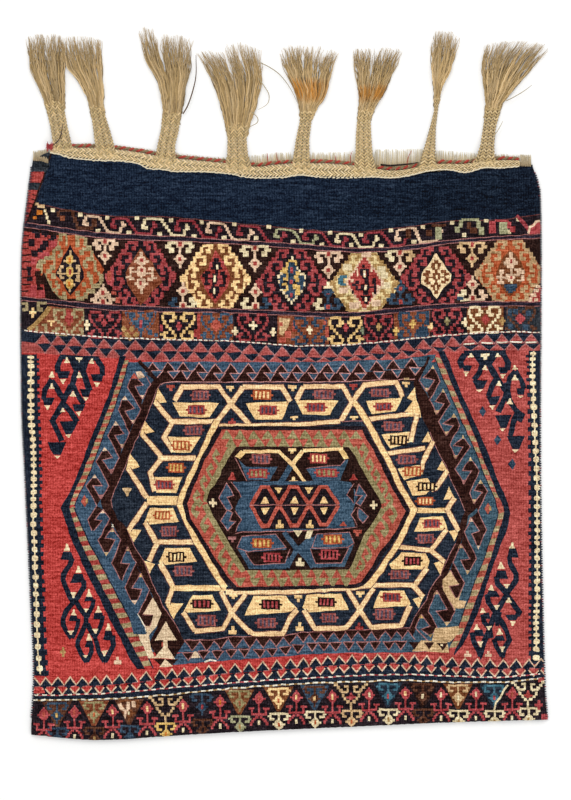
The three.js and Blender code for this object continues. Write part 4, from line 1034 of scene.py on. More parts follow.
ring_side(((207.5, 504), (210.6, 490), (217, 480), (222, 470), (227, 460), (234, 447)), (-3.6, -2.4), 1, 1,
          (216, 453, 1), (210.3, 467, 0.94), (203.5, 479.4, 0.96), (196.6, 493.6, 0.94))
ring_side(((206.6, 503), (212, 512.6), (222, 531), (230, 545), (238, 558), (246, 570)), (-3.8, 2.8), 1, -1,
          (195.2, 513.6, 1.06), (204.6, 528, 1.1), (214, 545.4, 1.1), (222.6, 561, 1.1), (231, 572.8, 1))
ring_side(((351.6, 448), (357.2, 460), (362.4, 470), (368.2, 480), (373.8, 490), (380, 500), (382, 505)),
          (3.6, -2.4), -1, 1, (363.8, 448, 1.1), (370.4, 462.4, 0.96), (376.8, 473.4, 0.92),
          (384.4, 484.8, 0.94), (389.6, 497, 0.94))
ring_side(((382, 506.4), (374, 520), (365, 533), (359, 547), (353.6, 560), (349.4, 569)), (3.8, 2.8), -1,
          -1, (393, 518.6, 1.1), (384.6, 532.6, 1.1), (375.6, 544.8, 1), (368.2, 557.8, 0.96),
          (361.8, 567.4, 0.9))
fill("coral", (222, 430), (362, 430), (354, 446.8), (231, 446.8))
for x in (227, 240, 254, 267.5, 280, 292.5, 305.5, 318.5, 331, 344, 356):
    fill("olive", (x - 0.6, 430.6), (x + 0.6, 430.6), (x + 6.1, 439.1), (x - 6.1, 439.1))
for x in (231, 244.5, 259, 271.5, 284, 297, 309.5, 322, 335, 347.5):
    fill("olive", (x - 1.1, 438.7), (x + 1.1, 438.7), (x + 6, 447.1), (x - 6, 447.1))
fill("coral", (247, 569), (350, 568), (356, 584), (300, 585.6), (236, 587))
for x in (252.5, 265.5, 278, 291, 305, 318, 330.5, 343, 355):
    fill("olive", (x - 6.2, 569.1), (x + 6.2, 569.1), (x + 1, 578.1), (x - 1, 578.1))
for x in (240, 255, 269, 282, 295, 308, 321, 333, 346):
    fill("olive", (x - 5.9, 577.8), (x + 5.9, 577.6), (x + 1.4, 585.9), (x - 1.4, 585.9))
fill("soot", *RING_IN)
cross("ivory", 213, 503, 4, 4.4, 2.4)
cross("ivory", 373.5, 505, 4, 4.4, 2.4)


# The middle of the ring
for places in (((241, 450), (246, 453), (240, 458.5), (235, 456.5)),
               ((338, 450), (343, 449), (349, 458), (344, 459.4))):
    fill("apricot", *places)
outlines("cream", (3.4, (243, 451.6), (279, 451.4), (293, 465.4), (306, 483)),
         (3.6, (303, 450.6), (343, 448.8)), (4.2, (302.6, 451), (292.4, 465)))
line("pink", 0.9, (235, 458), (247, 480.4))
fill("blue", (238, 459), (246, 467), (277.4, 467), (270, 480.4), (248, 480.4))
fill("blue", (306, 468), (340, 465), (345, 460), (348.6, 459), (340, 480.4), (313, 480.4))
line("pink", 0.8, (306, 468), (340, 465), (345, 460))
line("blue", 5.6, (291, 466), (278.6, 485))
comb(252, 454, 270, 464, "mauve", "lilac")
comb(249, 469, 268, 478, "brick", "olive")
comb(310, 453.6, 327, 463.4, "brick", "cream")
comb(316, 468.6, 337, 477, "brick", "olive")
peak("brick", 232, 472, 480, 4)
peak("brick", 353.4, 474, 480, 4)
tee("cream", 292, 448, 453)
tee("cream", 293.4, 484, 477, 3.8)
fill("blue", (233, 482), (248, 481.4), (340, 480.6), (351, 482), (358, 496), (354, 507), (352, 516),
     (355, 527), (290, 530.6), (242, 531.4), (236, 531), (241, 519.6), (235, 509), (240, 497))
for places in (((226.4, 483), (231.4, 490), (234, 496), (227, 497), (232.4, 508), (228, 512), (219, 498)),
               ((227.5, 509.7), (220.5, 521), (228, 530.3), (235.3, 521.4), (229.2, 521), (232.6, 512.5)),
               ((359, 484), (367, 495), (360, 506), (356, 503), (362, 496), (355, 495)),
               ((358, 508), (362, 510.3), (368.7, 516.4), (363, 523), (358, 517.5))):
    fill("blue", *places)
    line("pink", 0.9, *places, places[0])
for places in (((231, 482), (236, 487), (241, 497), (234, 507), (232, 502), (235, 496)),
               ((234.8, 511), (241.5, 519.7), (235.3, 531.5), (236, 521.5)),
               ((354, 483), (347, 495), (354, 503), (354, 495)),
               ((356.4, 507.5), (351.4, 514.7), (357, 525.3), (357.6, 516))):
    fill("soot", *places)
    line("pink", 0.8, *places[:3])
line("pink", 0.9, (234.8, 533.4), (242.6, 532), (290, 531.2), (340, 528.7), (357, 527))
fill("ink", (252, 504), (262, 485), (327, 485), (339, 504), (326, 528.4), (263, 529.4))
ROOF = ((251, 505), (261.4, 487), (268, 487), (279, 505), (290, 487), (297, 487), (309, 505), (320, 487),
        (326.4, 487), (339, 505))
for k in (0, 3, 6):
    a, b, c, d = ROOF[k:k + 4]
    low = ((265, 528), (294.6, 527.4), (324, 526))[k // 3]
    line("coral", 3.7, a, b, c, d)
    line("coral", 3.7, a, (low[0] - 3, low[1] - 2), (low[0] + 3, low[1] - 2), d)
    line("pink", 1.0, a, d)
    x = low[0]
    fill("cream", (x - 0.8, 496.6), (x + 0.8, 496.6), (x + 4.2, 503.2), (x - 4.2, 503.2))
    fill("cream", (x - 4.2, 507.6), (x + 4.2, 507.6), (x + 0.8, 514.4), (x - 0.8, 514.4))
for x in (278.6, 308.8):
    peak("apricot", x, 493.4, 487.4, 3.8)
    tee("apricot", x + 1, 528, 520, 3.8)
tee("pink", 232, 536.5, 542.4, 4)
tee("coral", 357.4, 530, 536, 4.2)
peak("coral", 343.4, 521.4, 526, 3.6)
fill("blue", (241.5, 536), (276, 534), (286, 548), (290, 565), (286, 569), (249.6, 569), (237, 548))
fill("blue", (317, 533.8), (349.4, 532), (354.4, 543), (344.6, 567), (313, 567), (302, 550), (310, 540))
line("blue", 5, (284, 532), (297, 549), (287, 567))
line("blue", 5, (312, 537), (299, 549), (313, 567))
fill("soot", (245.4, 552.2), (290, 549), (285, 563), (254, 565))
fill("soot", (310.6, 549), (348.6, 548), (341, 563), (315.6, 563.2))
for places in (((241.5, 536), (276, 534), (286, 547.6), (248, 551.6), (237, 548), (241.5, 536)),
               ((245.4, 552), (254, 565), (285, 563), (290, 549)),
               ((317, 533.8), (349.4, 532), (354.4, 543), (348, 547.4), (312, 548), (317, 533.8)),
               ((310.6, 549), (315.6, 563.2), (341, 563), (348.6, 548))):
    line("pink", 0.8, *places)
comb(252.6, 538.4, 271.4, 548, "rust", "gold")
comb(263.8, 552.6, 280.5, 562, "rose", "soot")
comb(323.4, 534.4, 342, 544, "rust", "gold")
comb(320.7, 549.6, 338, 559.4, "rose", "soot")
fill("bone", (293.4, 530.4), (302.4, 530.4), (298, 537.4))
fill("bone", (307, 530), (313.4, 530.4), (310, 538.6), (305, 539))
tee("bone", 300, 566, 558, 4)


# The navy hooked trees in the four corners of the field, with ivory tips
def tips(*spots):
    """Ivory tips, each from its point to its base."""
    for x, top, base in spots:
        peak("ivory", x, top, base, 3.0)


def tree_lines(*strokes):
    """The lines of a tree, each with its thickness."""
    outlines("navy", *[(width + 0.9, *places) for width, *places in strokes])


def bowl(x, top, bottom, wide, low):
    """A hook's end, wide above and narrow below."""
    fill("navy", (x - wide, top), (x + wide, top), (x + low, bottom), (x - low, bottom))


tree_lines((3.6, (60, 357), (99, 358.6)), (4.6, (61.6, 357), (57.6, 366), (58, 373)),
           (4.6, (97, 358.4), (102, 367), (102.6, 376)), (5, (72, 359), (76, 371), (73, 383), (68, 394)),
           (5, (87, 359), (83, 371), (87, 383), (90, 391)), (4.4, (52, 379), (45, 390), (43.4, 400)),
           (4.6, (52, 380), (60, 394), (66, 400)), (4.8, (71, 385), (66, 396), (61, 407), (53, 420)),
           (4.2, (73.6, 386), (79, 398), (84, 404)), (4.6, (63, 403), (71, 412), (77, 422)),
           (4.8, (52, 419), (57, 430), (62, 441)))
fill("navy", (71, 359), (88, 359), (83.6, 371), (76, 371))
for shape in ((63.4, 371, 378.6, 6.4, 4.4), (97.4, 374, 381.4, 6.6, 4.4), (85.6, 389, 397, 5.6, 3.4),
              (48.4, 397.4, 405.4, 6.2, 4), (79, 404, 411, 6.4, 4.4), (69, 421, 434, 9, 3.2),
              (57, 442, 455, 9.6, 3.6)):
    bowl(*shape)
fill("navy", (60, 396), (69, 396), (65, 405), (62, 405))
fill("ivory", (75, 357.4), (83, 357.4), (82, 360), (80, 360.4), (79, 363), (77.6, 360.4), (76, 360))
tips((67, 357.4, 363), (92, 358.4, 363.6), (79.4, 372, 378), (52, 371.6, 377.4), (52, 383, 389),
     (73, 391.6, 396.4), (62.4, 407.6, 412), (63, 384, 379.4), (97, 386.8, 382.4), (85.8, 400.6, 397.4),
     (47.6, 409.6, 405.6), (79, 416.4, 411.6), (68.6, 437.8, 434.4), (57, 459, 456))

tree_lines((4.4, (464, 353), (506, 352.6)), (5, (465, 354), (460, 362), (462, 368)),
           (4.8, (503, 353.6), (508, 363), (507, 370)),
           (4.8, (475, 354), (482, 364), (479, 373), (474, 380)),
           (4.8, (496, 354), (489, 364), (494, 374), (501, 384), (507, 392)),
           (4.6, (515, 371), (510, 378), (507, 388), (509, 400), (517, 412), (513, 424), (510, 436)),
           (4.4, (515, 371), (521, 380), (524, 389)), (4.6, (497, 378), (492, 386), (488, 396)),
           (4.8, (507, 392), (503, 402), (498, 412)), (4.4, (516, 410), (522, 415), (519, 422)))
fill("navy", (478, 353), (493, 353), (488.6, 366), (482, 366))
fill("navy", (504, 382), (511, 382), (509.4, 398), (506, 398))
for shape in ((466.6, 365.4, 371, 5.4, 3.4), (503.4, 367, 373.6, 6, 3.4), (480, 380, 389, 8, 3),
              (520.6, 388, 395, 4.2, 3), (493, 396, 405, 7.4, 3), (503.4, 415, 428, 8.6, 3),
              (515.6, 436, 449, 9.4, 3)):
    bowl(*shape)
block("ivory", 481, 353.6, 489, 356.4)
block("ivory", 483.6, 356, 487, 360)
tips((470.6, 353, 357.6), (498, 353, 357), (485, 365, 370), (514.6, 365, 369.6), (515, 375, 380.4),
     (498.6, 381, 385.6), (509.6, 398.6, 404), (466, 376, 371.6), (503, 378, 374.4), (479.6, 392, 389.6),
     (520.6, 397.8, 396), (492, 409.6, 405.4), (502.4, 431, 428.4), (515, 452, 449.4))
for x, y in ((482.6, 411.6), (497.6, 440), (512, 464)):
    diamond("slate", x, y, 3.8, 5.6)

tree_lines((4.6, (72, 558), (70, 565), (64, 574), (63, 580), (67.4, 591), (72.6, 601)),
           (4.4, (84, 580), (84, 587), (78.4, 596), (73.4, 602.6), (66.6, 610), (63, 619), (63.4, 625),
            (67, 632), (71.6, 638.4)), (3.8, (76, 600.6), (79, 607), (82.6, 612), (86, 616)),
           (3.6, (93.6, 599), (92.4, 606), (89.6, 612), (87, 617)),
           (3.4, (78.4, 618.6), (77.8, 625), (75.4, 631.6), (72, 637.6)),
           (4.2, (85.4, 624), (81.6, 633.4), (77.6, 641), (77.4, 645.6), (81, 653), (87, 662)),
           (4, (87.4, 624), (91.6, 632), (95.4, 637.6), (97.2, 644.6), (98.6, 651), (104.6, 661.6)),
           (3.6, (103, 616), (101.6, 624), (98.6, 630.6), (95.6, 636)),
           (4.2, (113, 635), (113.6, 645), (109.6, 653.4), (105.2, 662)),
           (3.4, (91.6, 645), (91.8, 652), (89, 658), (87, 662)))
fill("navy", (83.6, 612), (88.6, 612), (88.7, 627), (83.5, 627))
fill("navy", (83, 655), (91, 655), (87, 664))
fill("navy", (101, 655), (109, 655), (105, 664))
for shape in ((67.4, 559.4, 551.4, 6.6, 4), (78.4, 582.6, 573.4, 8, 4.6), (89.4, 601.6, 596.4, 5.4, 3.4),
              (73.6, 621, 615.6, 4.8, 3.4), (98.6, 619.4, 612.8, 5.6, 4), (89.4, 647.4, 640.6, 4.8, 3),
              (108.6, 640, 631, 5.6, 3.6)):
    bowl(*shape)
tips((67, 544, 551), (78.4, 566, 572.6), (89.4, 589, 596.4), (74, 609, 615.4), (98.6, 606, 612.6),
     (89, 634, 640.4), (108.4, 623, 630.6), (73.6, 598, 592), (86, 612, 608.6), (71, 634.6, 630.6),
     (95.4, 633, 628.4), (86, 657.6, 655), (104.6, 656, 650.4))
tee("blush", 117.6, 664, 657, 3.6)
cross("camel", 63, 652, 3, 5, 2.6)

tree_lines((4.6, (509, 556), (510, 563), (516, 574), (516, 580), (508, 592), (500, 606), (494, 616),
            (488, 632), (481, 650), (480, 657)),
           (4.6, (496, 576), (498, 584), (507, 594), (512, 602), (519, 612), (517, 616)),
           (4.2, (487, 594), (488, 602), (495, 612), (499, 620)),
           (4.2, (482, 614), (484, 622), (490, 630), (491, 638)),
           (4.4, (472, 632), (473, 640), (478, 650), (480, 656)),
           (4.4, (499, 618), (506, 630), (509, 640), (504, 650), (502, 657)),
           (4.2, (494, 639), (496, 646), (502, 656)))
fill("navy", (505, 588), (511, 588), (509, 598), (506, 598))
fill("navy", (494, 612), (502, 612), (499, 626), (495, 626))
fill("navy", (486, 628), (492, 628), (488, 640), (486, 640))
fill("navy", (477, 651), (484, 651), (481, 661))
fill("navy", (498, 651), (506, 651), (502, 660))
for shape in ((512.6, 557.6, 548.6, 5.8, 3.4), (501.4, 579, 570.4, 7, 4), (492.6, 597, 590.4, 7, 4),
              (512, 614.4, 620, 7, 4), (486, 619, 612.6, 4.6, 3), (478.4, 636, 629.6, 6, 3.6),
              (499, 641, 635.4, 6, 3.6)):
    bowl(*shape)
tips((512, 542, 548.6), (501, 562, 569), (491, 585, 590.4), (508.6, 597.6, 603), (482.4, 607.6, 612.6),
     (476.6, 624, 629.6), (499.4, 628.4, 634.4), (506.6, 588.6, 584), (496.6, 610, 605), (489, 630, 626),
     (480.4, 646.6, 641.4), (502.4, 651.6, 646.6), (512.6, 626, 621))
tee("blush", 467.6, 656.6, 651, 3.6)
tee("blush", 488.6, 656.6, 651, 3.6)


# The lower border: navy points outlined in white, with red drops between them, and the dashed lines
WELT_END = woven_row(701, 700, 695.8, 689.4, 684.8, 683, 681.4, 682.8, 683, 679.6)
ZIGZAG = (34, 46, 58, 70.5, 82.5, 95, 107, 119.5, 132, 146, 160, 172, 184, 196.5, 209, 221, 235, 249, 263,
          277, 291, 303, 315.5, 328, 339.7, 352, 364.8, 377.6, 390, 402, 414.4, 426.7, 440, 452, 465, 477,
          490, 503, 516, 529, 541)
strip("navy", LOWER_POINTS, BOTTOM, *WIDE, 9.4)
for x in ZIGZAG:
    y = LOWER_POINTS(x) - 0.6
    fill("navy", (x - 6, y + 10), (x - 5.8, y + 7.4), (x, y), (x + 5.8, y + 7.8), (x + 5.8, y + 10))
    fill("madder", (x + 0.4, y + 9.8), (x + 6.2, y + 8.4), (x + 7.4, y + 8), (x + 9.2, y + 11),
         (x + 4.4, y + 16.8), (x - 0.2, y + 11.6))
    line("blush", 1.2, (x - 5.8, y + 7.6), (x, y), (x + 6, y + 8))
    line("pink", 0.9, (x + 0.6, y + 9.6), (x + 6.6, y + 8.8))
    line("blush", 1.3, (x - 0.4, y + 11.2), (x + 4.4, y + 17), (x + 9.4, y + 11))
fill("madder", (30, 690), (44, 689), (45, 693), (30, 694))
strip("ink", WELT_END, BOTTOM, *WIDE, 0, 14)
row_line("rose", 1.1, DASH_1, 32, 540, 0.2)
row_line("white", 1.3, DASH_1, 34, 540, 0.0, 4.4, 4.0)
row_line("camel", 1.2, DASH_2, 32, 541, 0.2)
row_line("white", 1.5, DASH_2, 33, 541, 0.0, 4.6, 3.4)
fill("madder", (538, 678), (545, 677), (545, 681), (538, 682))


# The bottom band: red plants, and hooked figures that hang between them
def both_sides(dye, x, y, *boxes):
    """Blocks to the right of a line, and the same to the left of it."""
    for left, top, right, bottom in boxes:
        block(dye, x + left, y + top, x + right, y + bottom)
        block(dye, x - right, y + top, x - left, y + bottom)


def tree(x, top, dye, heart, half=10.0, drop=10.5):
    """A bar with a hook at each end, and a flower hanging from its middle."""
    block(dye, x - half, top, x + half, top + 2.1)
    both_sides(dye, x, top, (half - 2.2, 0, half, 7.6), (half, 2.4, half + 1.8, 4.4),
               (half - 5.2, 5.4, half - 1, 7.8))
    block(dye, x - 1.0, top, x + 1.0, top + drop)
    bloom(dye, x, top + drop + 2.6, heart, 4.0, 4.4)
    block(dye, x - 0.9, top + drop + 6, x + 0.9, top + drop + 11)


def hanging(x, dye, ground, heart, foot, foot_heart):
    """A tree on its own dark triangle, and a second tree at its foot."""
    top = WELT_END(x) + 0.6
    fill(ground, (x - 15, top), (x + 15, top), (x + 1.6, top + 25), (x - 1.6, top + 25))
    tree(x, top + 0.8, dye, heart)
    tree(x + 0.6, top + 26, foot, foot_heart, 9.6, 9.0)


def stepped_vee(x, dye, heart, foot, foot_heart):
    """Two stepped lines that meet below, with a hook in each half, and a tree at their foot."""
    top = WELT_END(x) + 0.2
    both_sides(dye, x, top, (13.4, 0, 17, 2.8), (11.2, 2.6, 14.2, 5.6), (8.4, 5.4, 11.8, 8.4),
               (3.4, 7.6, 10.4, 9.8), (6.6, 10.6, 9.4, 14), (4.2, 13.6, 7, 16.8), (1.2, 16.6, 4.4, 20),
               (2.2, 2, 4.2, 9), (3.8, 2, 7, 4.2))
    bloom(heart, x, top + 14, None, 2.0, 2.8)
    block(dye, x - 1.0, top + 19, x + 1.0, top + 27)
    tree(x + 0.6, top + 26.6, foot, foot_heart, 9.6, 9.0)


def plant(x, y, heart):
    """A red flower over an anchor with hooked arms, and an arch under it."""
    bloom("rose", x, y, heart)
    block("rose", x - 0.9, y + 5, x + 0.9, y + 17)
    block("rose", x - 7.8, y + 14.4, x + 7.8, y + 16.4)
    both_sides("rose", x, y, (5.8, 10, 7.8, 16), (6.4, 8.6, 10.6, 10.8), (4.2, 8.4, 7.4, 10.6),
               (0.8, 17, 3.6, 19.4), (3, 18.8, 5.8, 21.4), (5, 20.8, 7.6, 24), (6.6, 23.4, 9, 27))
    block("bone", x - 1.2, y + 21.6, x + 1.2, y + 26.4)


for x, *dyes in ((57, "slate", "umber", "gold", "slate", "blue"),
                 (94, "olive", "chestnut", "rust", "umber", "camel"),
                 (129, "walnut", "umber", "bone", "slate", "blue"),
                 (202, "slate", "ink", "rose", "umber", "ink"),
                 (239.5, "olive", "walnut", "chestnut", "sage", "camel"),
                 (278.4, "cream", "walnut", "rust", "bone", "rust"),
                 (314.6, "umber", "slate", "cream", "bone", "rust"),
                 (388, "sea", "night", "rose", "bone", "camel"),
                 (422.6, "umber", "soot", "bone", "umber", "soot"),
                 (458, "straw", "walnut", "bone", "bone", "camel"),
                 (494, "sea", "night", "rose", "bone", "camel")):
    hanging(x, *dyes)
for x, *dyes in ((165.5, "straw", "ink", "gold", "orange"), (351, "straw", "rose", "straw", "rust"),
                 (528, "bone", "brick", "bone", "camel")):
    stepped_vee(x, *dyes)
fill("blush", (117.6, 704), (121, 702.6), (123, 707), (126, 709.6), (127, 702), (130, 701.6), (130, 708.6),
     (127, 711), (125.4, 719), (123.4, 716), (124, 711.6), (119.6, 709))
block("blush", 131.6, 701, 135.4, 707)
line("bone", 2.0, (508, 685), (504, 690), (500, 697), (496, 703), (494, 710))
for x, y, heart in ((44, 714.6, "coral"), (74.6, 712.4, "coral"), (112.6, 711.6, "cream"),
                    (147.4, 708.6, "cream"), (183, 706, "cream"), (220, 702, "orange"),
                    (259, 698.6, "coral"), (296.4, 697, "cream"), (332.4, 697, "cream"),
                    (369, 694.6, "bone"), (405.4, 693.4, "cream"), (441, 694.4, "bone"), (476, 694, "bone"),
                    (512, 694, "coral")):
    plant(x, y, heart)
cross("rose", 538.6, 705, 3.6, 5, 2.6)
block("rose", 541, 714, 550, 722)


# At the left of the mouth the back shows past the front's own edge, in bands of charcoal and red
for dye, top, end in (("charcoal", 140.3, 228.7), ("brick", 171.6, 182.2), ("brick", 190.1, 225.3)):
    corner_rows = [top + (end - top) * k / 6 for k in range(7)]
    fill(dye, (16.4, top), *((FRONT_CORNER(row), row) for row in corner_rows), (15.2, end))
# A painted shadow: a dark line along the front's edge, where the front lies over the back
line("soot", 1.8, (51.4, 150.8), (47.6, 164.6), (43.4, 178), (38.2, 190.7), (35.1, 201), (31.2, 211),
     (26.4, 223))
for row in (195, 199.4, 203.6, 208, 213, 217, 221):
    line("soot", 1.1, (FRONT_CORNER(row) - 4.4, row), (FRONT_CORNER(row) + 0.6, row + 0.6))


# The back, past the fold, in plain bands of charcoal and red
BACK_BANDS = (28, 10, 8, 32, 14, 12)
SHEET_END = 1332.0
PAST_FOLD = 745
run = SHEET_END
for k in range(80):
    high = run
    run -= BACK_BANDS[k % len(BACK_BANDS)]
    if run > PAST_FOLD:
        block("madder" if k % 2 else "charcoal", 10, run, 562, high)


# The cloth is one long sheet, folded at the bottom, so its chart runs on round the fold and up the back
CLOTH = 0.003
FRONT_TOP = 0.013
SIDE_TOP = 0.0068
SIDE_ROLL = 0.011 / STEP
FOLD_RADIUS = FRONT_TOP / 2 / STEP
FOLD = math.pi * FOLD_RADIUS


def crease(column):
    """The row at which the front starts to turn under."""
    return BOTTOM(column) - FOLD_RADIUS


def ease(share):
    """A soft step from 0 to 1."""
    share = min(1.0, max(0.0, share))
    return share * share * (3 - 2 * share)


def front_height(column, row):
    """How high the top of the front lies: it comes down at the sides and waves a little."""
    inward = min(column - max(LEFT_EDGE(row), FRONT_CORNER(row)), RIGHT_EDGE(row) - column)
    wave = 0.0009 * noise.noise((column * 0.016, row * 0.022, 3.0))
    wave += 0.0004 * noise.noise((column * 0.05, row * 0.06, 8.0))
    return SIDE_TOP + (FRONT_TOP - SIDE_TOP + wave) * ease(inward / SIDE_ROLL)


def lie(column, run, inner):
    """Where a spot of the long sheet lies once it is folded, on its outer or its inner face."""
    over = run - crease(column)
    row = min(run, crease(column))
    height = front_height(column, row)
    if over <= 0:
        return spot(column, run, height - CLOTH if inner else height)
    if over < FOLD:
        turn = math.pi * over / FOLD
        reach = FOLD_RADIUS - CLOTH / STEP if inner else FOLD_RADIUS
        low = CLOTH if inner else 0.0
        high = height - low
        return spot(column, row + reach * math.sin(turn), low + (high - low) * (1 + math.cos(turn)) / 2)
    return spot(column, row - (over - FOLD), CLOTH if inner else 0.0)


def back_run(column, row):
    """How far along the sheet a row of the back is."""
    return 2 * crease(column) + FOLD - row


def sheet_outline(stride):
    """The edge of the whole unfolded sheet, once round."""
    mouth_row, last_row, fold_row = 165, 720, 725
    turn_steps, mouth_steps = 6, 84
    sides = {}
    for name, edge in (("left", LEFT_EDGE), ("right", RIGHT_EDGE)):
        corner = edge(MOUTH(edge(mouth_row)))
        rows = [MOUTH(corner)]
        while rows[-1] + 1.5 * stride < crease(edge(last_row)):
            rows.append(rows[-1] + stride)
        front = [(edge(row), row) for row in rows]
        start = crease(edge(fold_row))
        turn = [(edge(fold_row), start + FOLD * k / turn_steps) for k in range(turn_steps + 1)]
        back = [(edge(row), back_run(edge(row), row)) for row in reversed(rows)]
        end = BACK_MOUTH(corner)
        sides[name] = front + turn + back + [(corner, back_run(corner, end))]
    mouth, back_mouth = [], []
    first, last = sides["left"][0][0], sides["right"][0][0]
    for k in range(1, mouth_steps):
        column = first + (last - first) * k / mouth_steps
        mouth.append((column, MOUTH(column)))
        back_mouth.append((column, back_run(column, BACK_MOUTH(column))))
    return mouth + sides["right"] + back_mouth[::-1] + sides["left"][::-1]


def inside_spots(stride, margin):
    """Spots all over the sheet, between which it may wave, closer together at the fold."""
    top, last_row = 150.0, 1330.0
    first_column, last_column = 20.0, 550.0
    fold_row, fold_reach, fold_stride = 735, 26, 2.4
    spots = []
    while top < last_row:
        column = first_column
        while column < last_column:
            over = top - crease(column)
            row = top if over < 0 else crease(column) - max(0.0, over - FOLD)
            in_width = LEFT_EDGE(row) + margin < column < RIGHT_EDGE(row) - margin
            in_length = MOUTH(column) + margin < top < back_run(column, BACK_MOUTH(column)) - margin
            if in_width and in_length:
                spots.append((column + 0.31 * math.sin(top), top + 0.27 * math.sin(column)))
            column += stride
        near_fold = abs(top - fold_row) < fold_reach
        top += min(stride, fold_stride) if near_fold else stride
    return spots


def triangulate(outlines, spots):
    """Cuts outlines and loose spots into triangles, which know the outlines that they lie in."""
    only_inside, merge_within, with_sources = 1, 0.004, True
    places = []
    loops = []
    for outline in outlines:
        turned = sum(a[0] * b[1] - a[1] * b[0] for a, b in zip(outline, (*outline[1:], outline[0]))) < 0
        loop = list(range(len(places), len(places) + len(outline)))
        loops.append(loop[::-1] if turned else loop)
        places.extend(Vector(place) for place in outline)
    places.extend(Vector(place) for place in spots)
    return delaunay_2d_cdt(places, [], loops, only_inside, merge_within, with_sources)


def edge_loop(faces):
    """The one closed line of corners round a set of faces."""
    after = {}
    used = set()
    for face in faces:
        for k, corner in enumerate(face):
            used.add((corner, face[k - 1]))
    for here, before in used:
        if (before, here) not in used:
            after[before] = here
    start = next(iter(after))
    loop = [start]
    while after[loop[-1]] != start:
        loop.append(after[loop[-1]])
    return loop


def linear(code):
    """A linear colour from its sRGB hex code."""
    shares = [int(code[k:k + 2], 16) / 255 for k in (1, 3, 5)]
    bright = [s / 12.92 if s <= 0.04045 else ((s + 0.055) / 1.055) ** 2.4 for s in shares]
    return (*bright, 1.0)


def new_piece(name, places, faces, material, node_names):
    """A mesh piece that rides on the bag and stands for its CAD nodes."""
    mesh = bpy.data.meshes.new(name)
    mesh.from_pydata(places, [], faces)
    mesh.update()
    piece = bpy.data.objects.new(name, mesh)
    bpy.context.scene.collection.objects.link(piece)
    mesh.materials.append(material)
    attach(piece, "root")
    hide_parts(*node_names)
    return piece


def colour_corners(piece, face_colours):
    """Gives each corner of a face the face's own colour."""
    paint = piece.data.color_attributes.new("dye", "FLOAT_COLOR", "CORNER")
    values = []
    for polygon, colour in zip(piece.data.polygons, face_colours):
        values.extend(colour * polygon.loop_total)
    paint.data.foreach_set("color", values)


# Materials
def add(tree, kind, settings=(), sockets=()):
    """Adds a node, with its settings, and links or fills its sockets."""
    node = tree.nodes.new("ShaderNode" + kind)
    for name, value in dict(settings).items():
        setattr(node, name, value)
    for key, value in dict(sockets).items():
        if isinstance(value, bpy.types.NodeSocket):
            tree.links.new(value, node.inputs[key])
        else:
            node.inputs[key].default_value = value
    return node


def blank_material(name):
    """A material without nodes, and its tree."""
    material = bpy.data.materials.new(name)
    material.use_nodes = True
    material.node_tree.nodes.clear()
    return material, material.node_tree


MILLIMETRES = (1000, 1000, 1000)


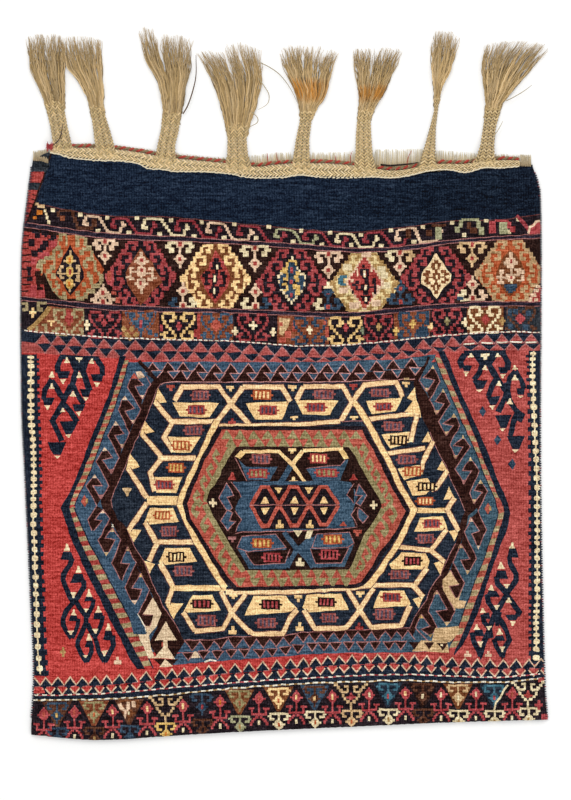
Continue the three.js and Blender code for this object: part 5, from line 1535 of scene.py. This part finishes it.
def woven_wool():
    """Weft-faced wool: matt, packed wefts over warp ribs, unevenly spun and dyed, with a pale nap."""
    material, tree = blank_material("weft-faced wool")
    dye = add(tree, "VertexColor", {"layer_name": "dye"})
    place = add(tree, "TexCoord")
    size = add(tree, "Mapping", {}, {"Vector": place.outputs["Object"], "Scale": MILLIMETRES})
    # Ribs are 1.7 mm apart on the real cloth, and drawn at 4.2 mm so that they show
    rib = add(tree, "TexWave", {"bands_direction": "X", "wave_profile": "SIN"},
              {"Vector": size.outputs[0], "Scale": 0.075, "Distortion": 2.4, "Detail": 2.0,
               "Detail Scale": 0.25})
    stretch = add(tree, "Mapping", {}, {"Vector": size.outputs[0], "Scale": (0.035, 0.3, 0.3)})
    streak = add(tree, "TexNoise", {},
                 {"Vector": stretch.outputs[0], "Scale": 1.0, "Detail": 3.0, "Roughness": 0.6})
    grain = add(tree, "TexNoise", {},
                {"Vector": size.outputs[0], "Scale": 0.36, "Detail": 2.0, "Roughness": 0.6})
    lots = add(tree, "Mapping", {}, {"Vector": size.outputs[0], "Scale": (0.003, 0.03, 0.03)})
    abrash = add(tree, "TexNoise", {}, {"Vector": lots.outputs[0], "Scale": 1.0, "Detail": 3.0})
    uneven = None
    # The weft streaks, the grain and the dye lots vary the tone at random; the ribs, with a small share,
    # darken the colour a little between them, as painted shade
    for source, share in ((streak, 1.2), (grain, 1.3), (rib, 0.12), (abrash, 0.25)):
        uneven = add(tree, "Math", {"operation": "MULTIPLY_ADD"},
                     {0: source.outputs["Fac"], 1: share, 2: uneven.outputs[0] if uneven else -1.435})
    # Light and dark are set in steps the eye sees as even, so the nap shows in the navy as well as in the red
    deep = add(tree, "Math", {"operation": "MULTIPLY_ADD"}, {0: uneven.outputs[0], 1: 0.4, 2: 1.0})
    nap = add(tree, "Math", {"operation": "MULTIPLY"}, {0: uneven.outputs[0], 1: 0.28})
    colour = add(tree, "Gamma", {}, {"Color": dye.outputs["Color"], "Gamma": 1 / 2.2})
    colour = add(tree, "Mix", {"data_type": "RGBA", "blend_type": "MULTIPLY"},
                 {"Factor": 1.0, 6: colour.outputs[0], 7: deep.outputs[0]})
    colour = add(tree, "Mix", {"data_type": "RGBA", "blend_type": "ADD", "clamp_result": True},
                 {"Factor": 1.0, 6: colour.outputs[2], 7: nap.outputs[0]})
    colour = add(tree, "Gamma", {}, {"Color": colour.outputs[2], "Gamma": 2.2})
    height = add(tree, "Math", {"operation": "MULTIPLY_ADD"},
                 {0: grain.outputs["Fac"], 1: 0.8, 2: rib.outputs["Fac"]})
    height = add(tree, "Math", {"operation": "MULTIPLY_ADD"},
                 {0: streak.outputs["Fac"], 1: 0.7, 2: height.outputs[0]})
    bump = add(tree, "Bump", {}, {"Strength": 0.6, "Distance": 0.0008, "Height": height.outputs[0]})
    wool = add(tree, "BsdfPrincipled", {}, {
        "Base Color": colour.outputs[0], "Roughness": 0.95, "Specular IOR Level": 0.08,
        "Sheen Weight": 0.03, "Sheen Roughness": 0.6, "Normal": bump.outputs[0]})
    add(tree, "OutputMaterial", {}, {"Surface": wool.outputs[0]})
    return material


def spun_wool(name):
    """Hand-spun wool yarn: matt, two plies twisted together, each yarn a little lighter or darker."""
    material, tree = blank_material(name)
    dye = add(tree, "VertexColor", {"layer_name": "dye"})
    yarn = add(tree, "UVMap", {"uv_map": "yarn"})
    twist = add(tree, "TexWave", {"bands_direction": "DIAGONAL", "wave_profile": "SIN"},
                {"Vector": yarn.outputs[0], "Scale": 1.0, "Distortion": 1.0, "Detail": 1.0})
    place = add(tree, "TexCoord")
    size = add(tree, "Mapping", {}, {"Vector": place.outputs["Object"], "Scale": MILLIMETRES})
    fibre = add(tree, "TexNoise", {},
                {"Vector": size.outputs[0], "Scale": 0.4, "Detail": 3.0, "Roughness": 0.7})
    # Painted shade: the twist darkens the colour in the grooves between the plies; the fibre noise varies the
    # tone at random
    shade = add(tree, "Math", {"operation": "MULTIPLY_ADD"}, {0: twist.outputs["Fac"], 1: 0.22, 2: 0.68})
    shade = add(tree, "Math", {"operation": "MULTIPLY_ADD"},
                {0: fibre.outputs["Fac"], 1: 0.4, 2: shade.outputs[0]})
    colour = add(tree, "Mix", {"data_type": "RGBA", "blend_type": "MULTIPLY"},
                 {"Factor": 1.0, 6: dye.outputs["Color"], 7: shade.outputs[0]})
    bump = add(tree, "Bump", {}, {"Strength": 0.4, "Distance": 0.0004, "Height": twist.outputs["Fac"]})
    wool = add(tree, "BsdfPrincipled", {}, {
        "Base Color": colour.outputs[2], "Roughness": 0.88, "Specular IOR Level": 0.2,
        "Sheen Weight": 0.1, "Sheen Roughness": 0.5, "Normal": bump.outputs[0]})
    add(tree, "OutputMaterial", {}, {"Surface": wool.outputs[0]})
    return material


WOVEN = woven_wool()
UNDYED = spun_wool("undyed hand-spun wool")
STITCHING = spun_wool("dyed stitching wool")
TWINED = spun_wool("twined wool")


# The woven cloth, whose right half has faded: its red is paler, and the navy under the mouth is darker
FADE_START = 260
FADE_WIDTH = 270
FADED = {"madder": "#a94a44", "midnight": "#0b1625", "coral": "#a85545", "blue": "#3a525f"}


def loose(places):
    """A figure as hand weaving gives it: its edges bend, and nothing stays quite where it was drawn."""
    stretch, ripple = 6, 0.14
    drawn = []
    for (x_a, y_a), (x_b, y_b) in zip(places, (*places[1:], places[0])):
        count = max(1, round(math.hypot(x_b - x_a, y_b - y_a) / stretch))
        for k in range(count):
            x = x_a + (x_b - x_a) * k / count
            y = y_a + (y_b - y_a) * k / count
            stray = noise.noise_vector((x * ripple, y * ripple, 0.0))
            drawn.append((x + stray.x, y + stray.y))
    return drawn


def covers(outline, x, y):
    """Whether a place lies inside an outline."""
    turns = 0
    for (x_a, y_a), (x_b, y_b) in zip(outline, (*outline[1:], outline[0])):
        if (y_a > y) != (y_b > y) and x < x_a + (x_b - x_a) * (y - y_a) / (y_b - y_a):
            turns += 1 if y_b > y_a else -1
    return turns != 0


def build_cloth():
    """The cloth as one closed skin: its charted outer face, its plain inner face and its edge."""
    outlines = [sheet_outline(5.0)] + [loose(places) for dye, places in figures]
    dyes = ["navy"] + [dye for dye, places in figures]
    places, _, faces, _, _, sources = triangulate(outlines, inside_spots(7.0, 2.5))
    skin = []
    skin_dyes = []
    for face, source in zip(faces, sources):
        if 0 in source:
            skin.append(list(reversed(face)))
            middle = sum((places[k] for k in face), Vector((0.0, 0.0))) / len(face)
            shown = next(k for k in sorted(source, reverse=True) if k == 0 or covers(outlines[k], *middle))
            skin_dyes.append(dyes[shown])
    loop = edge_loop(skin)[::-1]
    rim = [tuple(places[k]) for k in loop]
    under, _, under_faces, under_origins, _, under_sources = triangulate([rim], inside_spots(16.0, 6.0))
    under_faces = [face for face, source in zip(under_faces, under_sources) if source]
    joined = {}
    for k, origin in enumerate(under_origins):
        for first in origin:
            if first < len(rim):
                joined[first] = k
    solid = [lie(*place, False) for place in places]
    start = len(solid)
    solid += [lie(*place, True) for place in under]
    everything = skin + [[start + k for k in face] for face in under_faces]
    for k, here in enumerate(loop):
        after = loop[(k + 1) % len(loop)]
        everything.append([here, after, start + joined[(k + 1) % len(loop)], start + joined[k]])
    used = sorted({corner for face in everything for corner in face})
    renumber = {corner: k for k, corner in enumerate(used)}
    solid = [solid[corner] for corner in used]
    everything = [[renumber[corner] for corner in face] for face in everything]
    cloth = new_piece("chuval_cloth", solid, everything, WOVEN, ["woven_cloth"])
    colours = []
    for face, dye in zip(skin, skin_dyes):
        strong = Vector(linear(DYES[dye]))
        share = ease((places[face[0]].x - FADE_START) / FADE_WIDTH) if dye in FADED else 0.0
        colours.append(tuple(strong.lerp(Vector(linear(FADED.get(dye, DYES[dye]))), share)))
    colours += [linear(DYES["charcoal"])] * (len(everything) - len(colours))
    colour_corners(cloth, colours)
    cloth.data.shade_smooth()
    cloth.data.set_sharp_from_angle(angle=math.radians(50))
    return cloth


cloth = build_cloth()


# Yarn pieces: every strand is a tube along a path
def new_bundle():
    """An empty piece of yarn."""
    return {"places": [], "faces": [], "colours": [], "yarn": []}


def strand(bundle, path, widths, flatness, colour, sides=6):
    """Adds a closed tube along a path, wider than it is thick, in one colour or one colour for each spot."""
    first = len(bundle["places"])
    count = len(path)
    travelled = 0.0
    lengths = []
    for k, place in enumerate(path):
        ahead = path[min(k + 1, count - 1)] - path[max(k - 1, 0)]
        ahead.normalize()
        side = ahead.cross(Vector((0, 0, 1)))
        side.normalize()
        up = side.cross(ahead)
        if k:
            travelled += (place - path[k - 1]).length
        lengths.append(travelled * 1000)
        for turn in range(sides):
            angle = 2 * math.pi * turn / sides
            out = side * math.cos(angle) * widths[k] + up * math.sin(angle) * widths[k] * flatness
            bundle["places"].append(place + out)
    shades = colour if isinstance(colour, list) else [colour] * count
    for k in range(count - 1):
        for turn in range(sides):
            after = (turn + 1) % sides
            a = first + k * sides
            bundle["faces"].append([a + turn, a + sides + turn, a + sides + after, a + after])
            bundle["colours"].append(shades[k])
            low, high = turn / sides, (turn + 1) / sides
            bundle["yarn"] += [(low, lengths[k]), (low, lengths[k + 1]), (high, lengths[k + 1]),
                               (high, lengths[k])]
    for ring, shade in ((range(first, first + sides), shades[0]),
                        (range(first + (count - 1) * sides, first + count * sides), shades[-1])):
        face = list(ring) if ring[0] == first else list(reversed(ring))
        bundle["faces"].append(face)
        bundle["colours"].append(shade)
        bundle["yarn"] += [(0.5, 0.0)] * sides


def yarn_piece(name, bundle, material, node_names):
    """A bundle of strands as one piece."""
    piece = new_piece(name, bundle["places"], bundle["faces"], material, node_names)
    colour_corners(piece, bundle["colours"])
    layer = piece.data.uv_layers.new(name="yarn")
    layer.data.foreach_set("uv", [value for pair in bundle["yarn"] for value in pair])
    piece.data.shade_smooth()
    piece.data.set_sharp_from_angle(angle=math.radians(70))
    return piece


def tinted(code, light):
    """A dye a little lighter or darker."""
    red, green, blue, _ = linear(code)
    return (red * light, green * light, blue * light, 1.0)


def plait(bundle, lay, width, length, strands, period, stride, lift, codes, folds, ragged=0.0):
    """Flat plaiting: strands run slantwise from edge to edge, over some and under some, in stitches."""
    for number in range(strands):
        end = length - ragged * chance.random()
        steps = int(end / stride)
        path = []
        widths = []
        colours = []
        light = 0.84 + 0.32 * chance.random()
        code = codes[number % len(codes)]
        for k in range(steps + 1):
            along = end * k / steps
            phase = (along / period + number / strands) % 1.0
            across = 4 * abs(phase - 0.5) - 1
            going = max(-1.0, min(1.0, -5 * math.sin(2 * math.pi * phase)))
            wander = 0.5 * noise.noise((along * 0.08, across, 2.0))
            over = going * max(-1.0, min(1.0, 2.4 * math.sin(math.pi * folds * across + wander)))
            slant = math.atan2(1.86 * width(along), period * STEP)
            apart = period * STEP / strands * math.sin(slant)
            path.append(lay(along, across * 0.93, lift * over))
            widths.append(max(0.0006, 0.37 * apart))
            # Painted shade: a strand's colour is darker where it passes under the others
            colours.append(tinted(code, light * (0.68 + 0.34 * over)))
        strand(bundle, path, widths, 0.8, colours)


def thread(bundle, code, height, radius, *places):
    """A loose end of yarn lying along a few places of the chart."""
    across = smooth(*((k, place[0]) for k, place in enumerate(places)))
    along = smooth(*((k, place[1]) for k, place in enumerate(places)))
    steps = 6 * (len(places) - 1)
    path = [spot(across(k / 6), along(k / 6), height) for k in range(steps + 1)]
    strand(bundle, path, [radius * (1 - 0.6 * (k / steps) ** 3) for k in range(steps + 1)], 1.0,
           linear(code), 5)


# The plaited header between the cloth and the tassels
HEADER_CODES = ("#eed4a4", "#e2c896", "#f0d9ae", "#dac08e")
STEM_CODES = ("#e0c592", "#d4b885", "#e4ca9a", "#ccb07e")
BRUSH_CODES = ("#d0b384", "#c2a575", "#d8bc8e", "#b69968")
MOUTH_START = 50.0
MOUTH_END = 520.0
MOUTH_LENGTH = MOUTH_END - MOUTH_START
HEADER_HEIGHT = 0.0116
HEADER_TOP = smooth((50, 148), (80, 147.6), (97, 147.6), (120, 149.6), (140, 152.4), (160, 156),
                    (180, 158.6), (205, 161), (230, 163.4), (258, 166.4), (272, 164.8), (290, 163.4),
                    (322, 163), (350, 165), (372, 168), (390, 170.4), (400, 170), (412, 168.2),
                    (428, 164.6), (445, 163.6), (462, 163.8), (480, 161.6), (500, 160), (520, 160.4))
HEADER_END = smooth((50, 152.6), (60, 154.6), (67, 157.2), (80, 159), (100, 160.6), (120, 161),
                    (138, 163.6), (148, 168.4), (162, 169.4), (174, 171.4), (205, 171.8), (230, 174),
                    (246, 177.2), (262, 178), (285, 177.2), (300, 175), (320, 177.2), (350, 178),
                    (372, 177), (392, 177.8), (410, 175.4), (426, 171.4), (447, 169.6), (466, 172.4),
                    (484, 167.8), (500, 168), (520, 166.4))


def header_lay(along, across, lift):
    """A place in the header."""
    column = MOUTH_START + along
    top = HEADER_TOP(column)
    end = HEADER_END(column)
    return spot(column, (top + end) / 2 + across * (end - top) / 2, HEADER_HEIGHT + lift)


def header_width(along):
    """How wide the header is."""
    column = MOUTH_START + along
    return (HEADER_END(column) - HEADER_TOP(column)) * STEP


braid = new_bundle()
plait(braid, header_lay, header_width, MOUTH_LENGTH, 10, 34.0, 0.75, 0.0012, HEADER_CODES, 2)
path = []
widths = []
for k in range(int(MOUTH_LENGTH / 0.9)):
    stray = 0.16 * noise.noise((0.3 * k, 0.0, 4.0))
    path.append(header_lay(0.9 * k, 1.0 + stray, 0.0012 + 0.0005 * math.sin(1.3 * k)))
    widths.append(0.0012 + 0.0005 * noise.noise((0.5 * k, 7.0, 0.0)))
strand(braid, path, widths, 0.9, linear("#efe0c0"), 5)
yarn_piece("mouth_plait", braid, UNDYED, ["mouth_braid"])


# Each tassel: rows with the left and right columns of its plaited stem and of its brush, the rows of its
# tips, the slits between its locks, the rows of a stain, how much darker its brush is painted (painted shade
# that evens out the lamps' light), and its loose threads, each with a height and a radius
TASSELS = [
    {"stem": [(154, 50.6, 78), (149, 52, 74), (143, 52.4, 72), (127, 50, 68), (111, 46, 65),
              (99, 43, 64.6)],
     "brush": [(99, 43, 64.6), (85, 37, 65), (69, 30, 65), (55, 27, 66), (41, 25.4, 66.6)],
     "tips": [(0, 40), (0.15, 36), (0.6, 35), (1, 38)],
     "light": 0.86,
     "threads": [("#3a2428", 0.0145, 0.0009, (53, 145.6), (57, 142), (60, 138), (61.6, 133), (62.4, 127),
                  (62.4, 123))]},
    {"stem": [(160, 91, 122), (153, 95, 117), (145, 94.6, 114.6), (131, 93, 110.6), (115, 90.6, 105.4),
              (103, 88.6, 103)],
     "brush": [(103, 88.6, 103), (95, 86, 104), (81, 77.6, 103), (69, 68, 102.6), (55, 62, 102.6),
               (41, 59, 102)],
     "tips": [(0, 41), (0.3, 38), (0.7, 38), (1, 42)]},
    {"stem": [(168.6, 146, 182), (162, 151, 178), (155, 155, 176), (145, 157, 175.6), (131, 160, 179),
              (110, 163, 182)],
     "brush": [(110, 163, 182), (95, 161, 185), (81, 157, 188), (67, 149, 191), (55, 143, 192),
               (43, 140, 193)],
     "tips": [(0, 33), (0.12, 28), (0.3, 31), (0.36, 42), (0.42, 36), (0.8, 37), (1, 42)],
     "slits": [(0.36, 1.8)], "light": 0.85,
     "threads": [("#5c4229", 0.0125, 0.0012, (183, 114), (188, 105), (193, 90), (196, 75), (196, 55))]},
    {"stem": [(174, 220, 258), (168, 223.6, 253), (155, 226.6, 248.6), (139, 227, 247), (123, 225, 250)],
     "brush": [(123, 225, 250), (105, 220, 257), (91, 216, 260), (79, 211, 262.4), (67, 204, 262.4),
               (57, 197, 261.6)],
     "tips": [(0, 55), (0.25, 52), (0.45, 54), (0.52, 46), (0.75, 44), (1, 52)], "slits": [(0.44, 1.3)],
     "threads": [("#b5a685", 0.0125, 0.0008, (258, 78), (264, 86), (269, 95), (267.4, 104), (258, 110)),
                 ("#b5a685", 0.0125, 0.0008, (252, 112), (257.6, 118), (257, 123), (250, 127),
                  (246, 131))]},
    {"stem": [(174.6, 288, 316), (169, 291, 312), (160, 292.4, 310), (139, 295.6, 309.6), (119, 300, 312),
              (106, 299, 318)],
     "brush": [(106, 299, 318), (99, 297, 324), (89, 293, 328), (79, 288, 330), (67, 282, 333.6),
               (57, 279, 338.4)],
     "tips": [(0, 52), (0.2, 47), (0.6, 47), (0.85, 51), (1, 55)], "stain": (80, 108),
     "slits": [(0.4, 1.6)],
     "threads": [("#a5977a", 0.0125, 0.0008, (261, 63), (270, 67.6), (280, 75), (290, 88), (298, 104))]},
    {"stem": [(176.6, 349, 381), (170, 353, 377), (155, 355, 373), (135, 355.6, 371.6), (119, 357, 371),
              (106, 358.6, 376)],
     "brush": [(106, 358.6, 376), (95, 358.6, 383), (85, 357, 388), (75, 355, 393), (65, 353, 398),
               (57, 351.6, 402)],
     "tips": [(0, 50), (0.3, 50), (0.8, 49), (1, 54)], "stain": (86, 108)},
    {"stem": [(170.6, 414, 441), (165, 419, 437), (157, 421, 435.6), (143, 425.4, 435.6), (127, 430, 436),
              (111, 434, 438), (92, 434.6, 440.4)],
     "brush": [(92, 434.6, 440.4), (83, 433, 444), (71, 432, 450), (55, 431, 456), (41, 431.6, 459)],
     "tips": [(0, 36), (0.2, 32), (0.7, 33), (1, 39)]},
    {"stem": [(168, 468, 502), (163, 471.6, 498), (157, 476, 495), (145, 480, 494.6), (127, 483, 496.4),
              (103, 486, 503)],
     "brush": [(103, 486, 503), (95, 485, 510), (83, 483, 520), (71, 481.6, 530), (59, 481.6, 541),
               (53, 482.6, 548)],
     "tips": [(0, 47), (0.15, 43), (0.5, 42), (0.75, 44), (1, 53)],
     "slits": [(0.62, 0.9), (0.78, 1.6), (0.9, 1.4)],
     "threads": [("#a8997c", 0.0125, 0.0008, (506, 101), (514, 97), (524, 91), (532, 85)),
                 ("#c0b397", 0.0125, 0.0008, (494, 136), (498, 130), (503, 121))]},
]


def between(sections, row):
    """The left and right columns of a tassel at a row."""
    for (row_a, left_a, right_a), (row_b, left_b, right_b) in zip(sections, sections[1:]):
        if row >= row_b or row_b == sections[-1][0]:
            share = (row_a - row) / (row_a - row_b)
            return left_a + (left_b - left_a) * share, right_a + (right_b - right_a) * share


def tip_row(tips, share):
    """The row of a brush's tips, at a share of its width."""
    for (share_a, row_a), (share_b, row_b) in zip(tips, tips[1:]):
        if share <= share_b:
            return row_a + (row_b - row_a) * (share - share_a) / (share_b - share_a)
    return tips[-1][1]


# Heights: of a stem on the floor, its rise to the mouth and its dip at each end, and of a brush
STEM_HEIGHT = 0.0046
STEM_RISE = 0.0082
STEM_ROOT_DIP = 0.006
STEM_END_DIP = 0.0024
STEM_OVERLAP = 8
BRUSH_HEIGHT = 0.0016
BRUSH_RISE = 0.0088


def plait_stem(bundle, stem):
    """A stem comes down over the edge to the floor, and sinks into the header and into its brush."""
    foot = stem[0][0]
    length = foot - stem[-1][0] + STEM_OVERLAP

    def stem_lay(along, across, lift):
        row = foot - along
        left, right = between(stem, row)
        height = STEM_HEIGHT + STEM_RISE * (1 - ease((along - 8) / 34))
        height -= STEM_ROOT_DIP * (1 - ease(along / 7))
        height -= STEM_END_DIP * ease((along - length + 20) / 20)
        return spot((left + right) / 2 + across * (right - left) / 2, row, height + lift)

    def stem_width(along):
        left, right = between(stem, foot - along)
        return (right - left) * STEP

    left, right = between(stem, foot - 0.5 * length)
    plies = max(8, 2 * round(0.42 * (right - left)))
    folds = 3 if right - left > 13 else 2
    plait(bundle, stem_lay, stem_width, length, plies, 3.2 * plies, 0.8, 0.0013, STEM_CODES, folds, 13.0)


def comb_brush(bundle, shape):
    """The loose yarns of a brush, which fan out from the stem and lie one over another."""
    brush = shape["brush"]
    neck = brush[0][0]
    steps = 28
    low_stain, high_stain = shape.get("stain", (0, 0))
    widest = max(right - left for row, left, right in brush)
    for _ in range(int(44 + 2.3 * widest)):
        share = chance.random()
        start = neck + 2 + 13 * chance.random()
        reach = 1.03 - 0.24 * chance.random() ** 1.6
        tip = start + (tip_row(shape["tips"], share) - start) * reach
        sway = 0.6 + 1.5 * chance.random()
        waves = 1.2 + 2.4 * chance.random()
        turn = chance.random() * 7
        depth = chance.random()
        # Painted shade: a strand that lies lower in the brush is darker, and brushes with a light entry are
        # painted darker still to even out the lamps; each strand also differs in tone at random
        light = (0.36 + 0.7 * depth) * (0.7 + 0.56 * chance.random()) * shape.get("light", 1.0)
        code = BRUSH_CODES[chance.randrange(4)]
        soaked = chance.random()
        thick = 0.00085 + 0.00045 * chance.random()
        path = []
        widths = []
        colours = []
        for k in range(steps + 1):
            part = k / steps
            row = start + (tip - start) * part
            left, right = between(brush, row) if row < neck else between(shape["stem"], row)
            column = left + (right - left) * (0.02 + 0.96 * share)
            column += sway * part * math.sin(turn + waves * 6.28 * part)
            column += 0.8 * (1 - part) ** 3 * math.sin(5 * turn + 0.8 * row)
            for slit, wide in shape.get("slits", ()):
                push = wide * ease((part - 0.35) / 0.4) * math.exp(-abs(share - slit) / 0.1)
                column += push if share > slit else -push
            rise = BRUSH_RISE * depth * ease(part / 0.3) * (1 - 0.4 * part)
            ripple = 0.001 * part * math.sin(turn * 3 + 9 * part)
            path.append(spot(column, row, BRUSH_HEIGHT + rise + ripple))
            widths.append(thick * (1 - 0.82 * max(0.0, part - 0.5) / 0.5))
            stained = 0.0
            if low_stain:
                stained = ease((row - low_stain + 5 * soaked) / 9) * ease((high_stain - row - 4 * soaked) / 8)
            # Towards its tip each strand's colour moves to one even level, so the painted shade fades out
            # there
            base = Vector(tinted(code, light + (0.9 - light) * part ** 3)[:3])
            orange = Vector(tinted("#bd8238", light)[:3])
            colours.append((*base.lerp(orange, stained * min(1.0, 0.25 + soaked)), 1.0))
        strand(bundle, path, widths, 1.0, colours, 5)


for number, shape in enumerate(TASSELS, 1):
    tassel = new_bundle()
    plait_stem(tassel, shape["stem"])
    for code, height, radius, *places in shape.get("threads", ()):
        thread(tassel, code, height, radius, *places)
    comb_brush(tassel, shape)
    yarn_piece("tassel_%d_yarn" % number, tassel, UNDYED, ["tassel_%d" % number])


# The twined row at the mouth of the back, with a red tuft at its left end and a dark cord at the right
TWIST = 8.6
twining = new_bundle()
for number, code in enumerate(("#bb483c", "#93805f")):
    path = []
    widths = []
    for k in range(int(MOUTH_LENGTH / 0.7)):
        column = MOUTH_START + 0.7 * k
        uneven = 2.2 * noise.noise((column * 0.07, 3.0, 0.0))
        turn = 2 * math.pi * column / TWIST + uneven + math.pi * number
        row = HEADER_TOP(column) - 2.0 + 0.9 * math.cos(turn) + 0.5 * noise.noise((column * 0.2, 1.0, 0.0))
        path.append(spot(column, row, 0.0034 + 0.0014 * math.sin(turn)))
        widths.append(0.0021 + 0.0005 * noise.noise((0.3 * k, 5.0, 0.0)))
    strand(twining, path, widths, 0.8, linear(code))
thread(twining, "#241b19", 0.0062, 0.0016, (380.6, 164.4), (390, 165.4), (400, 164.6), (410, 163.6),
       (418.6, 162.2))
TUFT_CODES = ("#a8383c", "#8f2f35", "#b84a48")
for k in range(80):
    lean = 2 * math.pi * chance.random()
    reach = 1.4 + 3.4 * chance.random()
    high = 0.011 + 0.0034 * chance.random()
    across = reach * math.cos(lean)
    thread(twining, TUFT_CODES[k % 3], high, 0.001, (50.6, 149),
           (49.8 + 0.5 * reach * math.cos(lean), 147.4),
           (49.6 + across, 146.6 + 1.2 * reach * math.sin(lean)))
yarn_piece("back_twined_row", twining, TWINED, ["back_twining"])

# The cut fringe above it, which stands out at the right and is worn away at the left
FRINGE_TIP = smooth((33, 151), (46, 149), (52, 145), (95, 143), (140, 148), (180, 153), (205, 156),
                    (226, 157), (250, 155.4), (285, 152.4), (345, 152), (375, 149.6), (420, 149),
                    (445, 150.6), (465, 152), (500, 154), (531, 154.8))
FRAYED_LEFT = 48
FRAYED_RIGHT = 520
fringe = new_bundle()
column = 33.0
while column < 531.0:
    column += 0.35 + 0.6 * chance.random() if FRAYED_LEFT < column < FRAYED_RIGHT else 0.16
    base = HEADER_TOP(column) - 1.0
    if column < FRAYED_LEFT:
        base = 158.0 + 3 * chance.random() + 0.3 * max(0.0, column - 40)
    elif column > FRAYED_RIGHT:
        base = 165.0 + 1.6 * chance.random()
    tip = FRINGE_TIP(column) + 3.4 * chance.random() ** 2 - 0.6
    lean = 2.2 * (chance.random() - 0.5)
    depth = chance.random()
    light = 0.78 + 0.4 * chance.random()
    high, thick, root, end = 0.0062, 0.00075, "#cdb88f", "#e9e0c9"
    if column < FRAYED_LEFT or column > FRAYED_RIGHT:
        high, thick, root, end = 0.011, 0.00055, "#b8a380", "#e0d2b2"
    path = []
    widths = []
    colours = []
    for k in range(6):
        part = k / 5
        height = 0.0007 + (high - 0.004 + 0.002 * depth) * (1 - part)
        path.append(spot(column + lean * part * part, base + (tip - base) * part, height))
        widths.append(thick * (1 - 0.6 * k / 5))
        colours.append(tuple(Vector(tinted(root, light)).lerp(Vector(tinted(end, light)), part)))
    strand(fringe, path, widths, 0.8, colours, 4)
for places in (((268, 163), (267.4, 157), (267, 152.6)), ((282, 163.4), (277.6, 160), (276, 152)),
               ((350.4, 163), (350.6, 156), (352.6, 150.6)), ((407, 164), (408.4, 157), (411.6, 150.4)),
               ((336, 162), (335, 155))):
    thread(fringe, "#b0403a", 0.0066, 0.0007, *places)
yarn_piece("back_cut_fringe", fringe, UNDYED, ["back_fringe"])


# The overcast stitches that close the sides
def build_seam(name, node, edge, outward):
    """Slanting stitches over one edge, mostly navy, from the mouth to the fold."""
    last_row = 716
    bundle = new_bundle()
    row = MOUTH(edge(170)) + 4
    while row < last_row:
        row += 2.1 + 0.5 * chance.random()
        middle = edge(row)
        slant = 1.2 + 0.6 * chance.random()
        reach = 1.6 + 1.0 * chance.random()
        code = "#232838" if chance.random() < 0.8 else "#7f2f34"
        path = []
        for k in range(9):
            turn = math.pi * k / 8
            away = math.sin(turn) * (reach * 0.55 + 0.2) - (0.5 - 0.5 * abs(math.cos(turn))) * 0.2
            inward = -abs(math.cos(turn)) ** 3 * reach
            height = 0.0036 + 0.0038 * math.cos(turn)
            path.append(spot(middle + outward * (away + inward), row + slant * (k / 8 - 0.5),
                             max(0.0008, height)))
        strand(bundle, path, [0.0008] * 9, 0.8, tinted(code, 0.8 + 0.4 * chance.random()), 5)
    yarn_piece(name, bundle, STITCHING, [node])


build_seam("left_overcasting", "left_seam", LEFT_EDGE, -1)
build_seam("right_overcasting", "right_seam", RIGHT_EDGE, 1)


# Floor, camera and light
def pale_floor():
    """Matt paper, which keeps the bag's shadow and looks white to the camera."""
    material, tree = blank_material("pale studio paper")
    paper = add(tree, "BsdfDiffuse", {}, {"Color": linear("#f4f4f3")})
    path = add(tree, "LightPath")
    seen = add(tree, "Math", {"operation": "MULTIPLY"}, {0: path.outputs["Is Camera Ray"], 1: 0.14})
    glow = add(tree, "Emission", {}, {"Color": (1, 1, 1, 1), "Strength": seen.outputs[0]})
    both = add(tree, "AddShader", {}, {0: paper.outputs[0], 1: glow.outputs[0]})
    add(tree, "OutputMaterial", {}, {"Surface": both.outputs[0]})
    return material


bpy.ops.mesh.primitive_plane_add(size=14, location=(0, 0, -0.0004))
floor = bpy.context.object
floor.name = "studio_floor"
floor.data.materials.append(pale_floor())

world = bpy.data.worlds.new("soft studio")
bpy.context.scene.world = world
world.use_nodes = True
world.node_tree.nodes.clear()
sky = world.node_tree
ray = add(sky, "LightPath")
shown = add(sky, "Math", {"operation": "MAXIMUM"},
            {0: ray.outputs["Is Camera Ray"], 1: ray.outputs["Is Glossy Ray"]})
shown = add(sky, "Math", {"operation": "MAXIMUM"},
            {0: shown.outputs[0], 1: ray.outputs["Is Transmission Ray"]})
strength = add(sky, "Math", {"operation": "MULTIPLY_ADD"}, {0: shown.outputs[0], 1: 0.46, 2: 0.54})
background = add(sky, "Background", {}, {"Color": (1, 1, 1, 1), "Strength": strength.outputs[0]})
add(sky, "OutputWorld", {}, {"Surface": background.outputs[0]})

for name, place, watts, size in (("key", (-0.4, 1.5, 3.2), 45, 2.0), ("fill", (1.0, -1.3, 3.2), 32, 2.0)):
    lamp = bpy.data.lights.new(name + "_light", "AREA")
    lamp.energy = watts
    lamp.size = size
    holder = bpy.data.objects.new(name + "_light", lamp)
    holder.location = place
    holder.rotation_euler = (Vector((0, -0.05, 0)) - Vector(place)).to_track_quat("-Z", "Y").to_euler()
    bpy.context.scene.collection.objects.link(holder)

# The camera looks straight down, from far away, on a view 800 rows tall
VIEW_ROWS = 800
DISTANCE = 6.0
middle = spot(285.5, VIEW_ROWS / 2)
camera = bpy.data.cameras.new("camera")
camera.lens = camera.sensor_width * DISTANCE / (VIEW_ROWS * STEP)
viewer = bpy.data.objects.new("camera", camera)
viewer.location = (middle.x, middle.y, DISTANCE + 0.01)
bpy.context.scene.collection.objects.link(viewer)
bpy.context.scene.camera = viewer
bpy.context.scene.view_settings.view_transform = "Standard"
